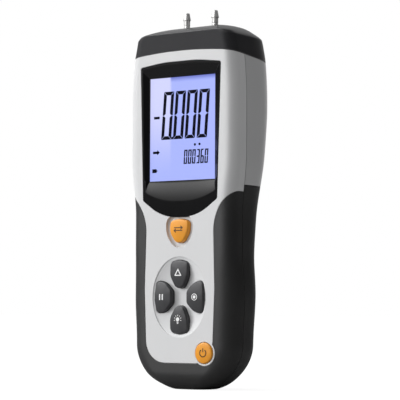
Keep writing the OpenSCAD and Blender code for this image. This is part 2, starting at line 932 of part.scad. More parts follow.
mat_in = 4.5;
mat_w = board_handle_w - mat_in;
mat_r = 5;
mat_low_z = board_low_z + touch;
module keypad_mat() {
    color([0.3, 0.3, 0.32])
        difference() {
            union() {
                through(board_y - mat_t, board_y)
                    polygon(rounded(
                        mirrored([
                            [mat_w + board_boss_d/2, mat_low_z],
                            [mat_w + board_boss_d/2, units_z + mat_r]]),
                        both([board_corner_r, mat_r])));
                for (p = [[0, units_z], [0, dish_z + key_rise], [0, dish_z - key_rise],
                        [-side_key_x, dish_z], [side_key_x, dish_z], [power_x, power_z]])
                    pin(dome_d, p[0], p[1], dome_y, board_y);
            }
            for (p = board_screw_places)
                pin(board_boss_d + 2*fit, p[0], p[1], board_y - over, board_y + over);
        }
}

module units_key() {
    color([0.91, 0.6, 0.16])
        key_solid(0, units_z) {
            units_outline(0);
            units_outline(key_flange);
        }
}
module difference_key() {
    color([0.23, 0.23, 0.24])
        key_solid(0, dish_z + key_rise) {
            difference_outline(0);
            difference_outline(key_flange);
        }
}
module hold_key() {
    color([0.23, 0.23, 0.24])
        key_solid(-side_key_x, dish_z) {
            hold_outline(0);
            hold_outline(key_flange);
        }
}
module record_key() {
    color([0.23, 0.23, 0.24])
        key_solid(side_key_x, dish_z) {
            record_outline(0);
            record_outline(key_flange);
        }
}
module backlight_key() {
    color([0.23, 0.23, 0.24])
        key_solid(0, dish_z - key_rise) {
            backlight_outline(0);
            backlight_outline(key_flange);
        }
}
module power_key() {
    color([0.91, 0.6, 0.16])
        key_solid(power_x, power_z) {
            power_outline(0);
            power_outline(key_flange);
        }
}

// Port: a turned fitting with a barb above the cap and a plain nipple below it
module port(x) {
    tail_z = collar_z - port_tail;
    top_z = case_h + port_h;
    color([0.75, 0.75, 0.76])
        translate([x, port_y, 0])
            rotate_extrude()
                polygon([
                    [port_bore_d/2, tail_z], [shank_d/2, tail_z], [shank_d/2, collar_z],
                    [collar_d/2, collar_z], [collar_d/2, seal_z], [shank_d/2, seal_z],
                    [shank_d/2, case_h + port_barb_low], [barb_d/2, case_h + port_barb_low],
                    [barb_d/2, case_h + port_barb_low + 0.2*port_barb_mid],
                    [port_tip_d/2, top_z], [port_bore_d/2, top_z]]);
}
module left_port() {
    port(-port_pitch/2);
}
module right_port() {
    port(port_pitch/2);
}
module port_seals() {
    color([0.1, 0.1, 0.1])
        for (x = [-port_pitch/2, port_pitch/2])
            difference() {
                post(collar_d, x, port_y, seal_z, port_flat_z);
                post(shank_d, x, port_y, seal_z - touch, port_flat_z + touch);
            }
}
module port_block() {
    color([0.85, 0.83, 0.78])
        difference() {
            block([-port_block_w/2, port_y - port_block_d/2, port_block_z],
                [port_block_w/2, port_y + port_block_d/2, collar_z]);
            for (x = [-port_pitch/2, port_pitch/2])
                post(shank_d, x, port_y, port_block_z - touch, collar_z + touch);
            for (x = [-port_screw_x, port_screw_x])
                post(port_screw_d + 2*fit, x, port_y, port_block_z - touch, collar_z + touch);
        }
}
module port_screws() {
    color([0.7, 0.7, 0.7])
        for (x = [-port_screw_x, port_screw_x]) {
            post(port_screw_head_d, x, port_y, port_block_z - port_screw_head_h, port_block_z);
            post(port_screw_d, x, port_y, port_block_z - touch, case_h - cap_wall/2 - lip_t);
        }
}
module pressure_sensor() {
    body_low_z = sensor_top_z - sensor_h;
    color([0.2, 0.25, 0.35])
        difference() {
            union() {
                block([-sensor_w/2, board_back_y, body_low_z],
                    [sensor_w/2, board_back_y + sensor_depth, sensor_top_z]);
                for (x = [-port_pitch/2, port_pitch/2])
                    post(shank_d, x, port_y, sensor_top_z - touch, sensor_top_z + nipple_h);
            }
            for (x = [-port_pitch/2, port_pitch/2])
                post(port_bore_d, x, port_y, sensor_top_z - nipple_h/2, sensor_top_z + 2*nipple_h);
        }
}
module tube(x) {
    color([0.8, 0.82, 0.84])
        difference() {
            post(tube_d, x, port_y, sensor_top_z, port_block_z - tube_gap);
            post(shank_d, x, port_y, sensor_top_z - touch, port_block_z);
        }
}
module left_tube() {
    tube(-port_pitch/2);
}
module right_tube() {
    tube(port_pitch/2);
}

beeper_x = -17;
beeper_drop = 5.6;
beeper_z = view_low_z - beeper_drop;
beeper_d = 12;
beeper_h = 7;
beeper_hole_d = 1.6;
module beeper() {
    color([0.1, 0.1, 0.1])
        difference() {
            pin(beeper_d, beeper_x, beeper_z, board_back_y, board_back_y + beeper_h);
            pin(beeper_hole_d, beeper_x, beeper_z, board_back_y + beeper_h/2, over);
        }
}

stud_y = battery_y + battery_depth/2;
battery_low_z = bay_low_z + bay_gap;
battery_top_z = battery_low_z + battery_body_h;
snap_t = 2.6;
snap_cup_d = 8.4;
module battery() {
    color([0.2, 0.3, 0.4])
        block([-battery_w/2, battery_y, battery_low_z],
            [battery_w/2, battery_y + battery_depth, battery_top_z]);
    color("silver")
        for (x = [-stud_x, stud_x])
            post(stud_d, x, stud_y, battery_top_z - touch, battery_top_z + stud_h);
}
module battery_snap() {
    plate_z = battery_top_z + stud_h;
    color([0.1, 0.1, 0.1])
        difference() {
            union() {
                block([-battery_w/2 + bay_wall, battery_y, plate_z],
                    [battery_w/2 - bay_wall, battery_y + battery_depth - bay_wall, plate_z + snap_t]);
                for (x = [-stud_x, stud_x])
                    post(snap_cup_d, x, stud_y, battery_top_z + fit, plate_z + touch);
            }
            for (x = [-stud_x, stud_x])
                post(stud_d, x, stud_y, battery_top_z, plate_z);
        }
}

lead_d = 1.3;
lead_bend_r = 3;
lead_y = bay_front_y + lead_d;
lead_rise = 10;
lead_top_z = bay_top_z + lead_rise;
module lead(x, tint) {
    start_z = battery_top_z + stud_h + snap_t;
    color(tint) {
        post(lead_d, x, lead_y, start_z, lead_top_z);
        translate([x, lead_y - lead_bend_r, lead_top_z])
            rotate([90, 0, 90])
                rotate_extrude(angle = 90)
                    translate([lead_bend_r, 0])
                        circle(d = lead_d);
        pin(lead_d, x, lead_top_z + lead_bend_r, board_back_y, lead_y - lead_bend_r);
    }
}
module battery_leads() {
    lead(-stud_x, "red");
    lead(stud_x, [0.1, 0.1, 0.1]);
}
module battery_pad() {
    color([0.25, 0.25, 0.25])
        block([-battery_w/2 + pad_in, battery_y + battery_depth + bay_gap/2, bay_low_z + pad_in],
            [battery_w/2 - pad_in, door_y, bay_top_z - pad_short]);
}
module battery_door() {
    color([0.45, 0.46, 0.47])
        difference() {
            union() {
                intersection() {
                    stretch(0, door_low_z - door_edge, door_top_z + door_edge, 8);
                    through(door_y, over)
                        door_outline(0);
                }
                difference() {
                    through(door_y - door_rib_h, door_y + touch)
                        bay_square(-door_gap);
                    through(door_y - 2*door_rib_h, door_y)
                        bay_square(-door_gap - bay_wall);
                }
            }
            pin(door_screw_d + 2*fit, 0, door_screw_z, -over, over);
            pin(door_screw_head_d + 2*fit, 0, door_screw_z, door_y + door_t - door_screw_head_h, over);
        }
}
module door_screw() {
    seat_y = door_y + door_t - door_screw_head_h;
    color([0.6, 0.6, 0.6]) {
        pin(door_screw_head_d, 0, door_screw_z, seat_y, seat_y + door_screw_head_h - fit);
        pin(door_screw_d, 0, door_screw_z, bay_front_y + stud_d, seat_y + touch);
    }
}
module tilt_stand() {
    color([0.25, 0.25, 0.26])
        union() {
            intersection() {
                stretch(fit, stand_low_z - door_edge, stand_axis_z + 2*knuckle_r, 8);
                stand_wedge(stand_seat_t, 0, over, stand_axis_z - stand_neck);
            }
            along_x(2*knuckle_r, stand_w/2 - fit);
            along_x(pivot_d, stand_w/2 + pivot_l);
        }
}
module tripod_insert() {
    color([0.8, 0.65, 0.35])
        difference() {
            pin(tripod_bush_d, 0, tripod_z, tripod_face_y - tripod_bush_l, tripod_face_y);
            pin(tripod_d, 0, tripod_z, tripod_face_y - tripod_depth, over);
        }
}
module case_screws() {
    color([0.6, 0.6, 0.6])
        for (p = case_screw_places) {
            pin(case_screw_head_d, p[0], p[1], seam_y + case_screw_land,
                seam_y + case_screw_land + case_screw_head_h);
            pin(case_screw_d, p[0], p[1], seam_y - case_screw_bite, seam_y + case_screw_land + touch);
        }
}
module board_screws() {
    color([0.6, 0.6, 0.6])
        for (p = board_screw_places) {
            pin(board_screw_head_d, p[0], p[1], board_back_y, board_back_y + board_screw_head_h);
            pin(board_screw_d, p[0], p[1], board_y - board_screw_bite, board_back_y + touch);
        }
}

front_case();
rear_case();
front_grip();
rear_grip();
top_cap();
display_bezel();
display_lens();
lcd_glass();
backlight_panel();
lcd_frame();
elastomer_strips();
main_board();
board_components();
keypad_mat();
units_key();
difference_key();
hold_key();
record_key();
backlight_key();
power_key();
pressure_sensor();
left_port();
right_port();
port_seals();
port_block();
port_screws();
left_tube();
right_tube();
beeper();
battery();
battery_snap();
battery_leads();
battery_pad();
battery_door();
door_screw();
tilt_stand();
tripod_insert();
case_screws();
board_screws();
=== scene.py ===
import math

import bmesh
import bpy
import numpy as np
from mathutils import Matrix, Vector


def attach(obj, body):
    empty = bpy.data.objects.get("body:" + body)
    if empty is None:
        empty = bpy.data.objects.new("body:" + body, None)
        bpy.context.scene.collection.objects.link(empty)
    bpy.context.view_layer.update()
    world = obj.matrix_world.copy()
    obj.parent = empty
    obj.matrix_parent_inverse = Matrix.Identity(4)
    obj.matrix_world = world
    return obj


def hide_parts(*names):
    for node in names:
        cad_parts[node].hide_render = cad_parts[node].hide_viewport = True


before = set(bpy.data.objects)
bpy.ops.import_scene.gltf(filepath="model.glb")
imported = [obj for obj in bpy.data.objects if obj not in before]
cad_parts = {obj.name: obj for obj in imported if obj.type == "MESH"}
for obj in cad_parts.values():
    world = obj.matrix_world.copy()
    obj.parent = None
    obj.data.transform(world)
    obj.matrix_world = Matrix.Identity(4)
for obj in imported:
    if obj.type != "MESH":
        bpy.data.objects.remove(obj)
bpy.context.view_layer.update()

MM = 0.001
bpy.context.scene.view_settings.view_transform = "Standard"

# Sizes in mm, as in the CAD. X runs to the right, Y to the back and Z up.
CASE_H = 210.0
HEAD_W, BELLY_W, WAIST_W = 75.5, 73.5, 70.2
HEAD_D, HANDLE_D = 50.2, 35.6
KEY_PROUD = 1.4
FRONT = KEY_PROUD - (HEAD_D + KEY_PROUD) / 2
SEAM = FRONT + 12.0                 # parting plane of the two case halves
GRIP_T, WALL = 1.4, 1.8
SKIN = GRIP_T + WALL
CAP_EDGE = CASE_H - 17.4
GRIP_TOP = 0.551 * CASE_H
INNER = FRONT + SKIN
BEZEL_D = 2.0
LENS_Y = FRONT + BEZEL_D + 0.5
LCD_Y = LENS_Y + 0.8
BEZEL_FLANGE = INNER + 0.05
BEZEL_BACK = BEZEL_FLANGE + 1.2
BOARD_T = 1.6
BOARD_BACK = LCD_Y + 2.6 + 3.6 + BOARD_T
VIEW_W, VIEW_H = 46.0, 59.6         # what the bezel leaves free of the glass
WINDOW_TOP = CAP_EDGE - 7.4
VIEW_Z = WINDOW_TOP - 6.6 - VIEW_H / 2
VIEW_LOW = VIEW_Z - VIEW_H / 2
WINDOW_SAG = 0.4667 * CASE_H
WINDOW_LOW = WINDOW_SAG + 0.47 * (VIEW_LOW - WINDOW_SAG)
DISH_Z = 0.2495 * CASE_H
DISH_W, DISH_H, DISH_DEEP, DISH_LIP = 37, 45.4, 2.6, 0.35
UNITS_W = 13.4
UNITS_Z = WINDOW_SAG - UNITS_W / 2 - 1.3
KEY_RISE, SIDE_X = 13.0, 11.2       # places of the four keys about the dish's middle
KEY_W, KEY_H, SIDE_W, SIDE_H = 12.8, 16.0, 12.0, 18.4
POWER_X, POWER_Z, POWER_D = 17.5, 21.0, 12.0
COLLAR_D = 14.6                     # pale collar round the power key
KEY_GAP = 0.25
GAP = 0.09                          # half of each fine line between two mouldings
GROOVE_HALF, GROOVE_DEEP = 0.26, 0.3
FAR = 200.0                         # beyond the meter on every side

# Half widths, depths and radii of the front edges along the height
WIDTHS = [(s * CASE_H, v * BELLY_W / 2) for s, v in ((0, 0.971), (0.14, 0.972), (0.25, 1))]
WIDTHS += [(s * CASE_H, v * WAIST_W / 2) for s, v in ((0.37, 1), (0.47, 1))]
WIDTHS += [(s * CASE_H, v * HEAD_W / 2)
           for s, v in ((0.638, 1), (0.783, 1), (0.905, 0.963), (0.962, 0.908), (1, 0.895))]
DEPTHS = [(s * CASE_H, v * HANDLE_D)
          for s, v in ((0, 0.936), (0.14, 0.96), (0.29, 1), (0.405, 1.044))]
DEPTHS += [(s * CASE_H, v * HEAD_D)
           for s, v in ((0.695, 0.961), (0.79, 1), (0.905, 0.993), (1, 0.987))]
EDGES = [(s * CASE_H, r) for s, r in ((0.14, 11.5), (0.25, 11.5), (0.38, 8), (0.48, 8), (0.6, 7.2))]
BACK_LIMIT = 25.57                  # keeps the back inside the CAD's box
BACK_BOW = 2 / 3.5                  # exponent of the back's curve, seen from above

# How sides, face and back draw in at foot and crown: reach, height, exponent
CROWN, FACE_CROWN, FOOT = 6.6, 4.6, 0.6
SIDES_LOW, SIDES_TOP = (28.6, 24.7, 1.8), (12.3, CROWN, 1.35)
FACE_LOW, FACE_TOP = (10.2, 9.5, 1.8), (18, FACE_CROWN, 1.25)
BACK_LOW, BACK_TOP = (12, 24.6, 2.4), (13.4, 10.7, 2.1)
CROWN_SINK = 4.4                    # how far the crown falls from its middle to the sides


def curve(points, t):
    """Curve through the points, level at its ends and at each peak."""
    def rise(i, j):
        return (points[j][1] - points[i][1]) / (points[j][0] - points[i][0])

    def slope(i):
        if i == 0 or i == len(points) - 1 or rise(i - 1, i) * rise(i, i + 1) <= 0:
            return 0.0
        return rise(i - 1, i + 1)

    if t <= points[0][0]:
        return points[0][1]
    for i in range(len(points) - 1):
        (t0, v0), (t1, v1) = points[i], points[i + 1]
        if t <= t1:
            d = t1 - t0
            s = (t - t0) / d
            return (v0 * (1 - s) ** 2 * (1 + 2 * s) + v1 * s * s * (3 - 2 * s)
                    + slope(i) * d * s * (1 - s) ** 2 - slope(i + 1) * d * s * s * (1 - s))
    return points[-1][1]


def drawn(t, n):
    """Rounded rise from 0 to 1."""
    return 0.0 if t <= 0 else 1 - (1 - min(t, 1) ** n) ** (1 / n)


def low(z, reach, size, n):
    return reach * drawn((size - z) / (size + FOOT), n)


def high(z, reach, size, n):
    return reach * drawn((z - CASE_H + size) / size, n)


def half_width(z):
    return curve(WIDTHS, z) - low(z, *SIDES_LOW) - high(z, *SIDES_TOP)


def front_at(z):
    return FRONT + low(z, *FACE_LOW) + high(z, *FACE_TOP)


def back_at(z):
    return min(FRONT + curve(DEPTHS, z) - low(z, *BACK_LOW) - high(z, *BACK_TOP), BACK_LIMIT)


def sunk(x, z):
    rise = max(z / CASE_H - 0.8, 0) / 0.2
    return CROWN_SINK * rise * rise * (x / (HEAD_W / 2)) ** 2


# Outlines, as lists of points
def circle(d, x=0.0, z=0.0, n=64):
    return [(x + d / 2 * math.cos(2 * math.pi * i / n), z + d / 2 * math.sin(2 * math.pi * i / n))
            for i in range(n)]


def arc(r, a0, a1, x=0.0, z=0.0, n=28):
    return [(x + r * math.cos(math.radians(a0 + (a1 - a0) * k / n)),
             z + r * math.sin(math.radians(a0 + (a1 - a0) * k / n))) for k in range(n + 1)]


def ring(z, inset, edge_n, back_n):
    """Level section of the housing, inset from its skin: two rounded corners and a bowed back."""
    w, f, b = half_width(z) - inset, front_at(z) + inset, back_at(z) - inset
    r = min(max(curve(EDGES, z) - inset, 0.3), 0.9 * w, 0.45 * (b - f))
    m = max(SEAM, f + r + 0.3)
    out = arc(r, 180, 270, r - w, f + r, edge_n) + arc(r, 270, 360, w - r, f + r, edge_n)
    for i in range(back_n + 1):
        a = math.radians(180 * i / back_n)
        c, s = math.cos(a), math.sin(a)
        out.append((w * math.copysign(abs(c) ** BACK_BOW, c), m + (b - m) * abs(s) ** BACK_BOW))
    level = inset + z / CASE_H * (CASE_H - 2 * inset)
    return [(x, y, level - sunk(x, z)) for x, y in out]


def stations(n, m):
    """Heights of the sections: n - m steps up to the crown, close at the foot, and m in it."""
    turn = math.radians(150)
    out = []
    for k in range(n + 1):
        if k <= n - m:
            out.append((1 - math.cos(turn * k / (n - m))) / (1 - math.cos(turn)) * (CASE_H - CROWN))
        else:
            out.append(CASE_H - CROWN * ((n - k) / m) ** 1.5)
    out.append(CASE_H - FACE_CROWN)
    return sorted(out)


def rounded(points, radii, steps=12):
    pts = [np.array(p, float) for p in points]
    out = []
    n = len(pts)
    for i in range(n):
        a, p, b, r = pts[i - 1], pts[i], pts[(i + 1) % n], radii[i]
        u, v = (a - p) / np.linalg.norm(a - p), (b - p) / np.linalg.norm(b - p)
        half = math.acos(max(-1, min(1, float(u @ v)))) / 2
        if half > math.pi / 2 - 1e-4 or r <= 0:
            out.append(tuple(p))
            continue
        c = p + (u + v) / np.linalg.norm(u + v) * r / math.sin(half)
        s = p + u * r / math.tan(half) - c
        turn = (math.pi - 2 * half) * math.copysign(1, v[0] * u[1] - v[1] * u[0])
        for k in range(steps + 1):
            q = turn * k / steps
            out.append((c[0] + s[0] * math.cos(q) - s[1] * math.sin(q),
                        c[1] + s[0] * math.sin(q) + s[1] * math.cos(q)))
    return out


def mirrored(points, radii, steps):
    """Rounded outline from its right half."""
    both = list(points) + [(-x, z) for x, z in reversed(points)]
    return rounded(both, list(radii) + list(reversed(radii)), steps)


def square(x, bottom, top, r=0.0, steps=4):
    """Rectangle about x = 0, with corners of radius r."""
    pts = [(x, bottom), (x, top), (-x, top), (-x, bottom)]
    return rounded(pts, [r] * 4, steps) if r else pts


def grown(outline, g):
    """Outline pushed out by g along its normals."""
    p = np.array(outline, float)
    area = np.sum(p[:, 0] * np.roll(p[:, 1], -1) - np.roll(p[:, 0], -1) * p[:, 1])
    p = p[np.linalg.norm(np.roll(p, -1, 0) - p, axis=1) > 1e-9]
    t1 = p - np.roll(p, 1, 0)
    t2 = np.roll(p, -1, 0) - p
    n1, n2 = (np.stack([t[:, 1], -t[:, 0]], 1) / np.linalg.norm(t, axis=1)[:, None] for t in (t1, t2))
    m = n1 + n2
    m /= np.maximum(np.sum(m * m, axis=1), 0.3)[:, None] / 2
    return [tuple(q) for q in p + m * g * math.copysign(1, area)]


def placed(outline, x, z, turn=0.0):
    c, s = math.cos(math.radians(turn)), math.sin(math.radians(turn))
    return [(x + a * c - b * s, z + a * s + b * c) for a, b in outline]


def shield(w, h, x, z, turn=0.0):
    """Outline and centre of a key that is narrow at its foot."""
    pts = [(0.19 * w, -0.5 * h), (0.48 * w, -0.07 * h), (0.5 * w, 0.42 * h), (0.1 * w, 0.5 * h)]
    radii = [s * min(w, h) for s in (0.28, 0.64, 0.2, 0.6)]
    return placed(mirrored(pts, radii, 10), x, z, turn), (x, z)


panel = mirrored([(22.8, 15), (24.4, 0.27 * CASE_H), (22.8, GRIP_TOP), (HEAD_W, GRIP_TOP),
                  (HEAD_W, FAR + 100)], [13, 78, 26, 0.15, 0.15], 24)
back_panel = mirrored([(22, 9), (22, 2 * FAR)], [9, 9], 24)
window = mirrored([(12, WINDOW_SAG), (26, WINDOW_LOW), (28.2, WINDOW_TOP), (12, WINDOW_TOP + 2)],
                  [30, 2, 1.4, 90], 14)
DOOR_LOW, DOOR_TOP = 14.0, 79.0
door_line = square(18, DOOR_LOW, DOOR_TOP, 4, 8)


def window_line(grow):
    """Window grown away from the middle of the view."""
    out = []
    for x, z in window:
        d = math.hypot(x, z - VIEW_Z)
        out.append((x + grow * x / d, z + grow * (z - VIEW_Z) / d))
    return out


def view_square(m):
    x, bottom, top = VIEW_W / 2 + m, VIEW_LOW - m, VIEW_LOW + VIEW_H + m
    return [(-x, bottom), (x, bottom), (x, top), (-x, top)]


# Outline and centre of each key
KEYS = {
    "units_key": shield(UNITS_W, UNITS_W, 0, UNITS_Z),
    "difference_key": shield(KEY_W, KEY_H, 0, DISH_Z + KEY_RISE),
    "hold_key": shield(SIDE_H, SIDE_W, -SIDE_X, DISH_Z, 90),
    "record_key": shield(SIDE_H, SIDE_W, SIDE_X, DISH_Z, -90),
    "backlight_key": shield(KEY_W, KEY_H, 0, DISH_Z - KEY_RISE, 180),
    "power_key": (circle(POWER_D, POWER_X, POWER_Z, 96), (POWER_X, POWER_Z)),
}
CASE_SCREWS = [(side * (w / 2 - edge), s * CASE_H)
               for w, edge, s in ((HEAD_W, 6.9, 0.81), (BELLY_W, 7.2, 0.143)) for side in (-1, 1)]
BOARD_SCREWS = [(-22, VIEW_LOW - 15), (22, VIEW_LOW - 15), (-21.5, 0.095 * CASE_H),
                (21.5, 0.162 * CASE_H)]
CASE_BOSS_D, BOARD_BOSS_D, SLEEVE_D = 6, 5, 7.4
CASE_PILOT_D, BOARD_PILOT_D, CLEAR_D = 2.2, 2, 2.5


# Meshes
def new_object(verts, faces, name="piece"):
    mesh = bpy.data.meshes.new(name)
    mesh.from_pydata([tuple(c * MM for c in v) for v in verts], [], faces)
    mesh.update()
    obj = bpy.data.objects.new(name, mesh)
    bpy.context.scene.collection.objects.link(obj)
    bm = bmesh.new()
    bm.from_mesh(mesh)
    if bm.calc_volume(signed=True) < 0:
        bmesh.ops.reverse_faces(bm, faces=bm.faces)
        bm.to_mesh(mesh)
    bm.free()
    return obj


def loft(rings, peak=None, low_peak=None):
    """Closed skin through rings of equal count, with flat ends or with a point at an end."""
    n, last = len(rings[0]), len(rings) - 1
    verts = [p for r in rings for p in r]
    faces = []
    for k in range(last):
        for j in range(n):
            a, b = k * n + j, k * n + (j + 1) % n
            faces.append((a, b, b + n, a + n))
    if low_peak is None:
        faces.append(tuple(range(n - 1, -1, -1)))
    else:
        verts.append(low_peak)
        faces += [((j + 1) % n, j, len(verts) - 1) for j in range(n)]
    if peak is None:
        faces.append(tuple(last * n + j for j in range(n)))
    else:
        verts.append(peak)
        faces += [(last * n + j, last * n + (j + 1) % n, len(verts) - 1) for j in range(n)]
    return new_object(verts, faces)


EDGE_N, BACK_N = 9, 36              # steps round each front edge and along the back


def body(inset, n=112, m=16, edge_n=EDGE_N, back_n=BACK_N):
    """The whole housing as a solid, inset from its skin."""
    return loft([ring(z, inset, edge_n, back_n) for z in stations(n, m)], (0, 0, CASE_H - inset))


def core(inset):
    """Coarser body that hollows a moulding."""
    return body(inset, 40, 6, 4, 18)


def stretch(inset, z0, z1):
    """Part of the body between two heights."""
    n = 24
    rings = [ring(z0 + (z1 - z0) * k / n, inset, EDGE_N, BACK_N) for k in range(n + 1)]
    return loft(rings, (0, 0, z1))


def prism(outline, y0, y1):
    """Outline in X and Z pushed through from y0 to y1."""
    return loft([[(x, y, z) for x, z in outline] for y in (y0, y1)])


def cylinder(d, x, z, y0, y1, n=64):
    return prism(circle(d, x, z, n), y0, y1)


def block(low_corner, high_corner):
    (x0, y0, z0), (x1, y1, z1) = low_corner, high_corner
    return prism([(x0, z0), (x1, z0), (x1, z1), (x0, z1)], y0, y1)


def lathe(profile, place, n):
    """Profile of (radius, along) turned about an axis; place maps its points."""
    return loft([[place(a, b, t) for a, b in circle(2 * r, n=n)] for r, t in profile])


def turned(profile, place, n):
    """Closed section turned about an axis, for pieces with a bore."""
    m = len(profile)
    verts = [place(r * c, r * s, t) for c, s in circle(2, n=n) for r, t in profile]
    faces = []
    for i in range(n):
        for j in range(m):
            a, b = i * m, ((i + 1) % n) * m
            faces.append((a + j, a + (j + 1) % m, b + (j + 1) % m, b + j))
    return new_object(verts, faces)


def along_y(x, z):
    return lambda a, b, t: (x + a, t, z + b)


def along_z(x, y):
    return lambda a, b, t: (x + a, y + b, t)


def boolean(obj, tools, operation):
    """Joins or cuts obj by the tools, one after the other, and deletes the tools."""
    for tool in tools:
        for solver in ("MANIFOLD", "EXACT"):
            mod = obj.modifiers.new("b", "BOOLEAN")
            mod.operation = operation
            mod.object = tool
            mod.solver = solver
            dg = bpy.context.evaluated_depsgraph_get()
            mesh = bpy.data.meshes.new_from_object(obj.evaluated_get(dg), depsgraph=dg)
            obj.modifiers.clear()
            if len(mesh.polygons) > 3:
                old = obj.data
                obj.data = mesh
                bpy.data.meshes.remove(old)
                break
            bpy.data.meshes.remove(mesh)
        bpy.data.objects.remove(tool)
    return obj


def cut(obj, *tools):
    return boolean(obj, tools, "DIFFERENCE")


def join(obj, *tools):
    return boolean(obj, tools, "UNION")


def common(obj, *tools):
    return boolean(obj, tools, "INTERSECT")


def twin(obj):
    out = obj.copy()
    out.data = obj.data.copy()
    bpy.context.scene.collection.objects.link(out)
    return out


def tilted(obj, y, z, angle):
    """Leans an object about X and moves it back and up."""
    obj.data.transform(Matrix.Translation(Vector((0, y, z)) * MM) @ Matrix.Rotation(angle, 4, "X"))
    return obj


def smooth(obj, angle):
    """Welds what a cut left apart and shades smooth up to an angle."""
    bm = bmesh.new()
    bm.from_mesh(obj.data)
    bmesh.ops.remove_doubles(bm, verts=bm.verts, dist=2e-6)
    bmesh.ops.dissolve_degenerate(bm, edges=bm.edges, dist=1e-6)
    bm.to_mesh(obj.data)
    bm.free()
    obj.data.polygons.foreach_set("use_smooth", [True] * len(obj.data.polygons))
    obj.data.set_sharp_from_angle(angle=math.radians(angle))
    mod = obj.modifiers.new("w", "WEIGHTED_NORMAL")
    mod.keep_sharp = True
    mod.weight = 60


# Shader nodes
def add(tree, kind, inputs=None, **props):
    """Adds a node. An input takes a link where a socket is given, and else a constant."""
    out = tree.nodes.new("ShaderNode" + kind)
    for key, value in props.items():
        setattr(out, key, value)
    for key, value in (inputs or {}).items():
        if isinstance(value, bpy.types.NodeSocket):
            tree.links.new(value, out.inputs[key])
        else:
            out.inputs[key].default_value = value
    return out


def mix(tree, factor, one, two):
    both = add(tree, "Mix", {"Factor": factor, "A": one, "B": two}, data_type="RGBA")
    return both.outputs["Result"]


def ramp(tree, value, start=(0, 1), end=(0, 1), kind="LINEAR"):
    """Maps the range from start to the range to end."""
    inputs = {"Value": value, "From Min": start[0], "From Max": start[1],
              "To Min": end[0], "To Max": end[1]}
    return add(tree, "MapRange", inputs, interpolation_type=kind).outputs[0]


def dot(tree, one, two):
    return add(tree, "VectorMath", {0: one, 1: two}, operation="DOT_PRODUCT").outputs["Value"]


def maths(tree, operation, one, two):
    return add(tree, "Math", {0: one, 1: two}, operation=operation).outputs[0]


def place_in(tree):
    return add(tree, "TexCoord").outputs["Object"]


def axes_in(tree):
    return add(tree, "SeparateXYZ", {0: place_in(tree)}).outputs


def noise(tree, scale, **inputs):
    return add(tree, "TexNoise", {"Vector": place_in(tree), "Scale": scale, **inputs}).outputs["Fac"]


def srgb(r, g, b):
    linear = [((c / 255 + 0.055) / 1.055) ** 2.4 if c > 10 else c / 255 / 12.92 for c in (r, g, b)]
    return (*linear, 1)


M = {}
WEAR_AND_HIGHLIGHT_BEND = (0.995, 0.86)           # cosines of the bend where the edge wear and painted highlight begin and are full
GRAIN_DEEP, ROUGH_SPREAD = 0.05, 0.05


def new_material(name):
    mat = M[name] = bpy.data.materials.new(name)
    mat.use_nodes = True
    return mat.node_tree


def principled(tree):
    return next(n for n in tree.nodes if n.type == "BSDF_PRINCIPLED")


def material(name, rough, colour, colour_2=None, patch=60, grain=0.03, grain_size=0.25, metallic=0.0,
             spec=0.5, coat=0.0, edge=0.25, wear_and_highlight=0.0, wear_and_highlight_colour=None, transmission=0.0, ior=1.5):
    """Procedural finish: slow colour drift, fine grain as bump, rounded edges tinted partly by wear and
    partly by painted highlight.
    """
    tree = new_material(name)
    tree.nodes.clear()
    one = srgb(*colour)
    two = srgb(*colour_2) if colour_2 else tuple(min(1, c * 1.08 + 0.004) for c in one)
    base = mix(tree, noise(tree, patch, Detail=3), one, two)
    bevel = add(tree, "Bevel", {"Radius": edge * MM}, samples=4).outputs[0]
    # Edges turn towards the second colour: partly wear, partly a painted highlight
    if wear_and_highlight > 0:
        bent = dot(tree, bevel, add(tree, "NewGeometry").outputs["Normal"])
        base = mix(tree, ramp(tree, bent, WEAR_AND_HIGHLIGHT_BEND, (0, wear_and_highlight)), base, srgb(*wear_and_highlight_colour))
    fine = noise(tree, 1 / (grain_size * MM), Detail=2)
    bump = add(tree, "Bump", {"Strength": min(1.0, grain * 4), "Distance": GRAIN_DEEP * MM,
                              "Height": fine, "Normal": bevel})
    uneven = ramp(tree, fine, end=(max(0.02, rough - ROUGH_SPREAD), min(1.0, rough + ROUGH_SPREAD)))
    bsdf = add(tree, "BsdfPrincipled", {
        "Base Color": base, "Roughness": uneven, "Normal": bump.outputs[0], "Metallic": metallic,
        "Specular IOR Level": spec, "Coat Weight": coat, "Coat Roughness": 0.15,
        "Transmission Weight": transmission, "IOR": ior})
    add(tree, "OutputMaterial", {"Surface": bsdf.outputs[0]})
    return tree


def overlay(tree, factor, colour):
    """Lays a second colour over the base colour of a finish."""
    base = principled(tree).inputs["Base Color"]
    tree.links.new(mix(tree, factor, base.links[0].from_socket, srgb(*colour)), base)


material("silver_shell", 0.36, (213, 214, 215), (219, 219, 220), patch=35, grain=0.035, grain_size=0.35,
         metallic=0.05, spec=0.28, edge=0.35, wear_and_highlight=0.25, wear_and_highlight_colour=(235, 235, 236))
material("grey_shell", 0.38, (196, 197, 198), (203, 203, 204), patch=35, grain=0.035, grain_size=0.35,
         metallic=0.12, spec=0.45, edge=0.35, wear_and_highlight=0.2, wear_and_highlight_colour=(220, 220, 221))
material("soft_grip", 0.55, (17, 17, 18), (23, 23, 24), patch=90, grain=0.1, grain_size=0.3,
         spec=0.8, edge=0.4, wear_and_highlight=0.35, wear_and_highlight_colour=(60, 60, 61))
# The cap's pale edges are mostly a painted highlight along its rounded top edge
material("dark_cap", 0.42, (46, 46, 48), (51, 51, 53), patch=80, grain=0.07, grain_size=0.28,
         spec=0.16, edge=0.8, wear_and_highlight=0.7, wear_and_highlight_colour=(150, 150, 152))
material("dark_bezel", 0.14, (18, 18, 19), (22, 22, 23), patch=70, grain=0.02,
         spec=0.22, wear_and_highlight=0.2, wear_and_highlight_colour=(60, 60, 61))
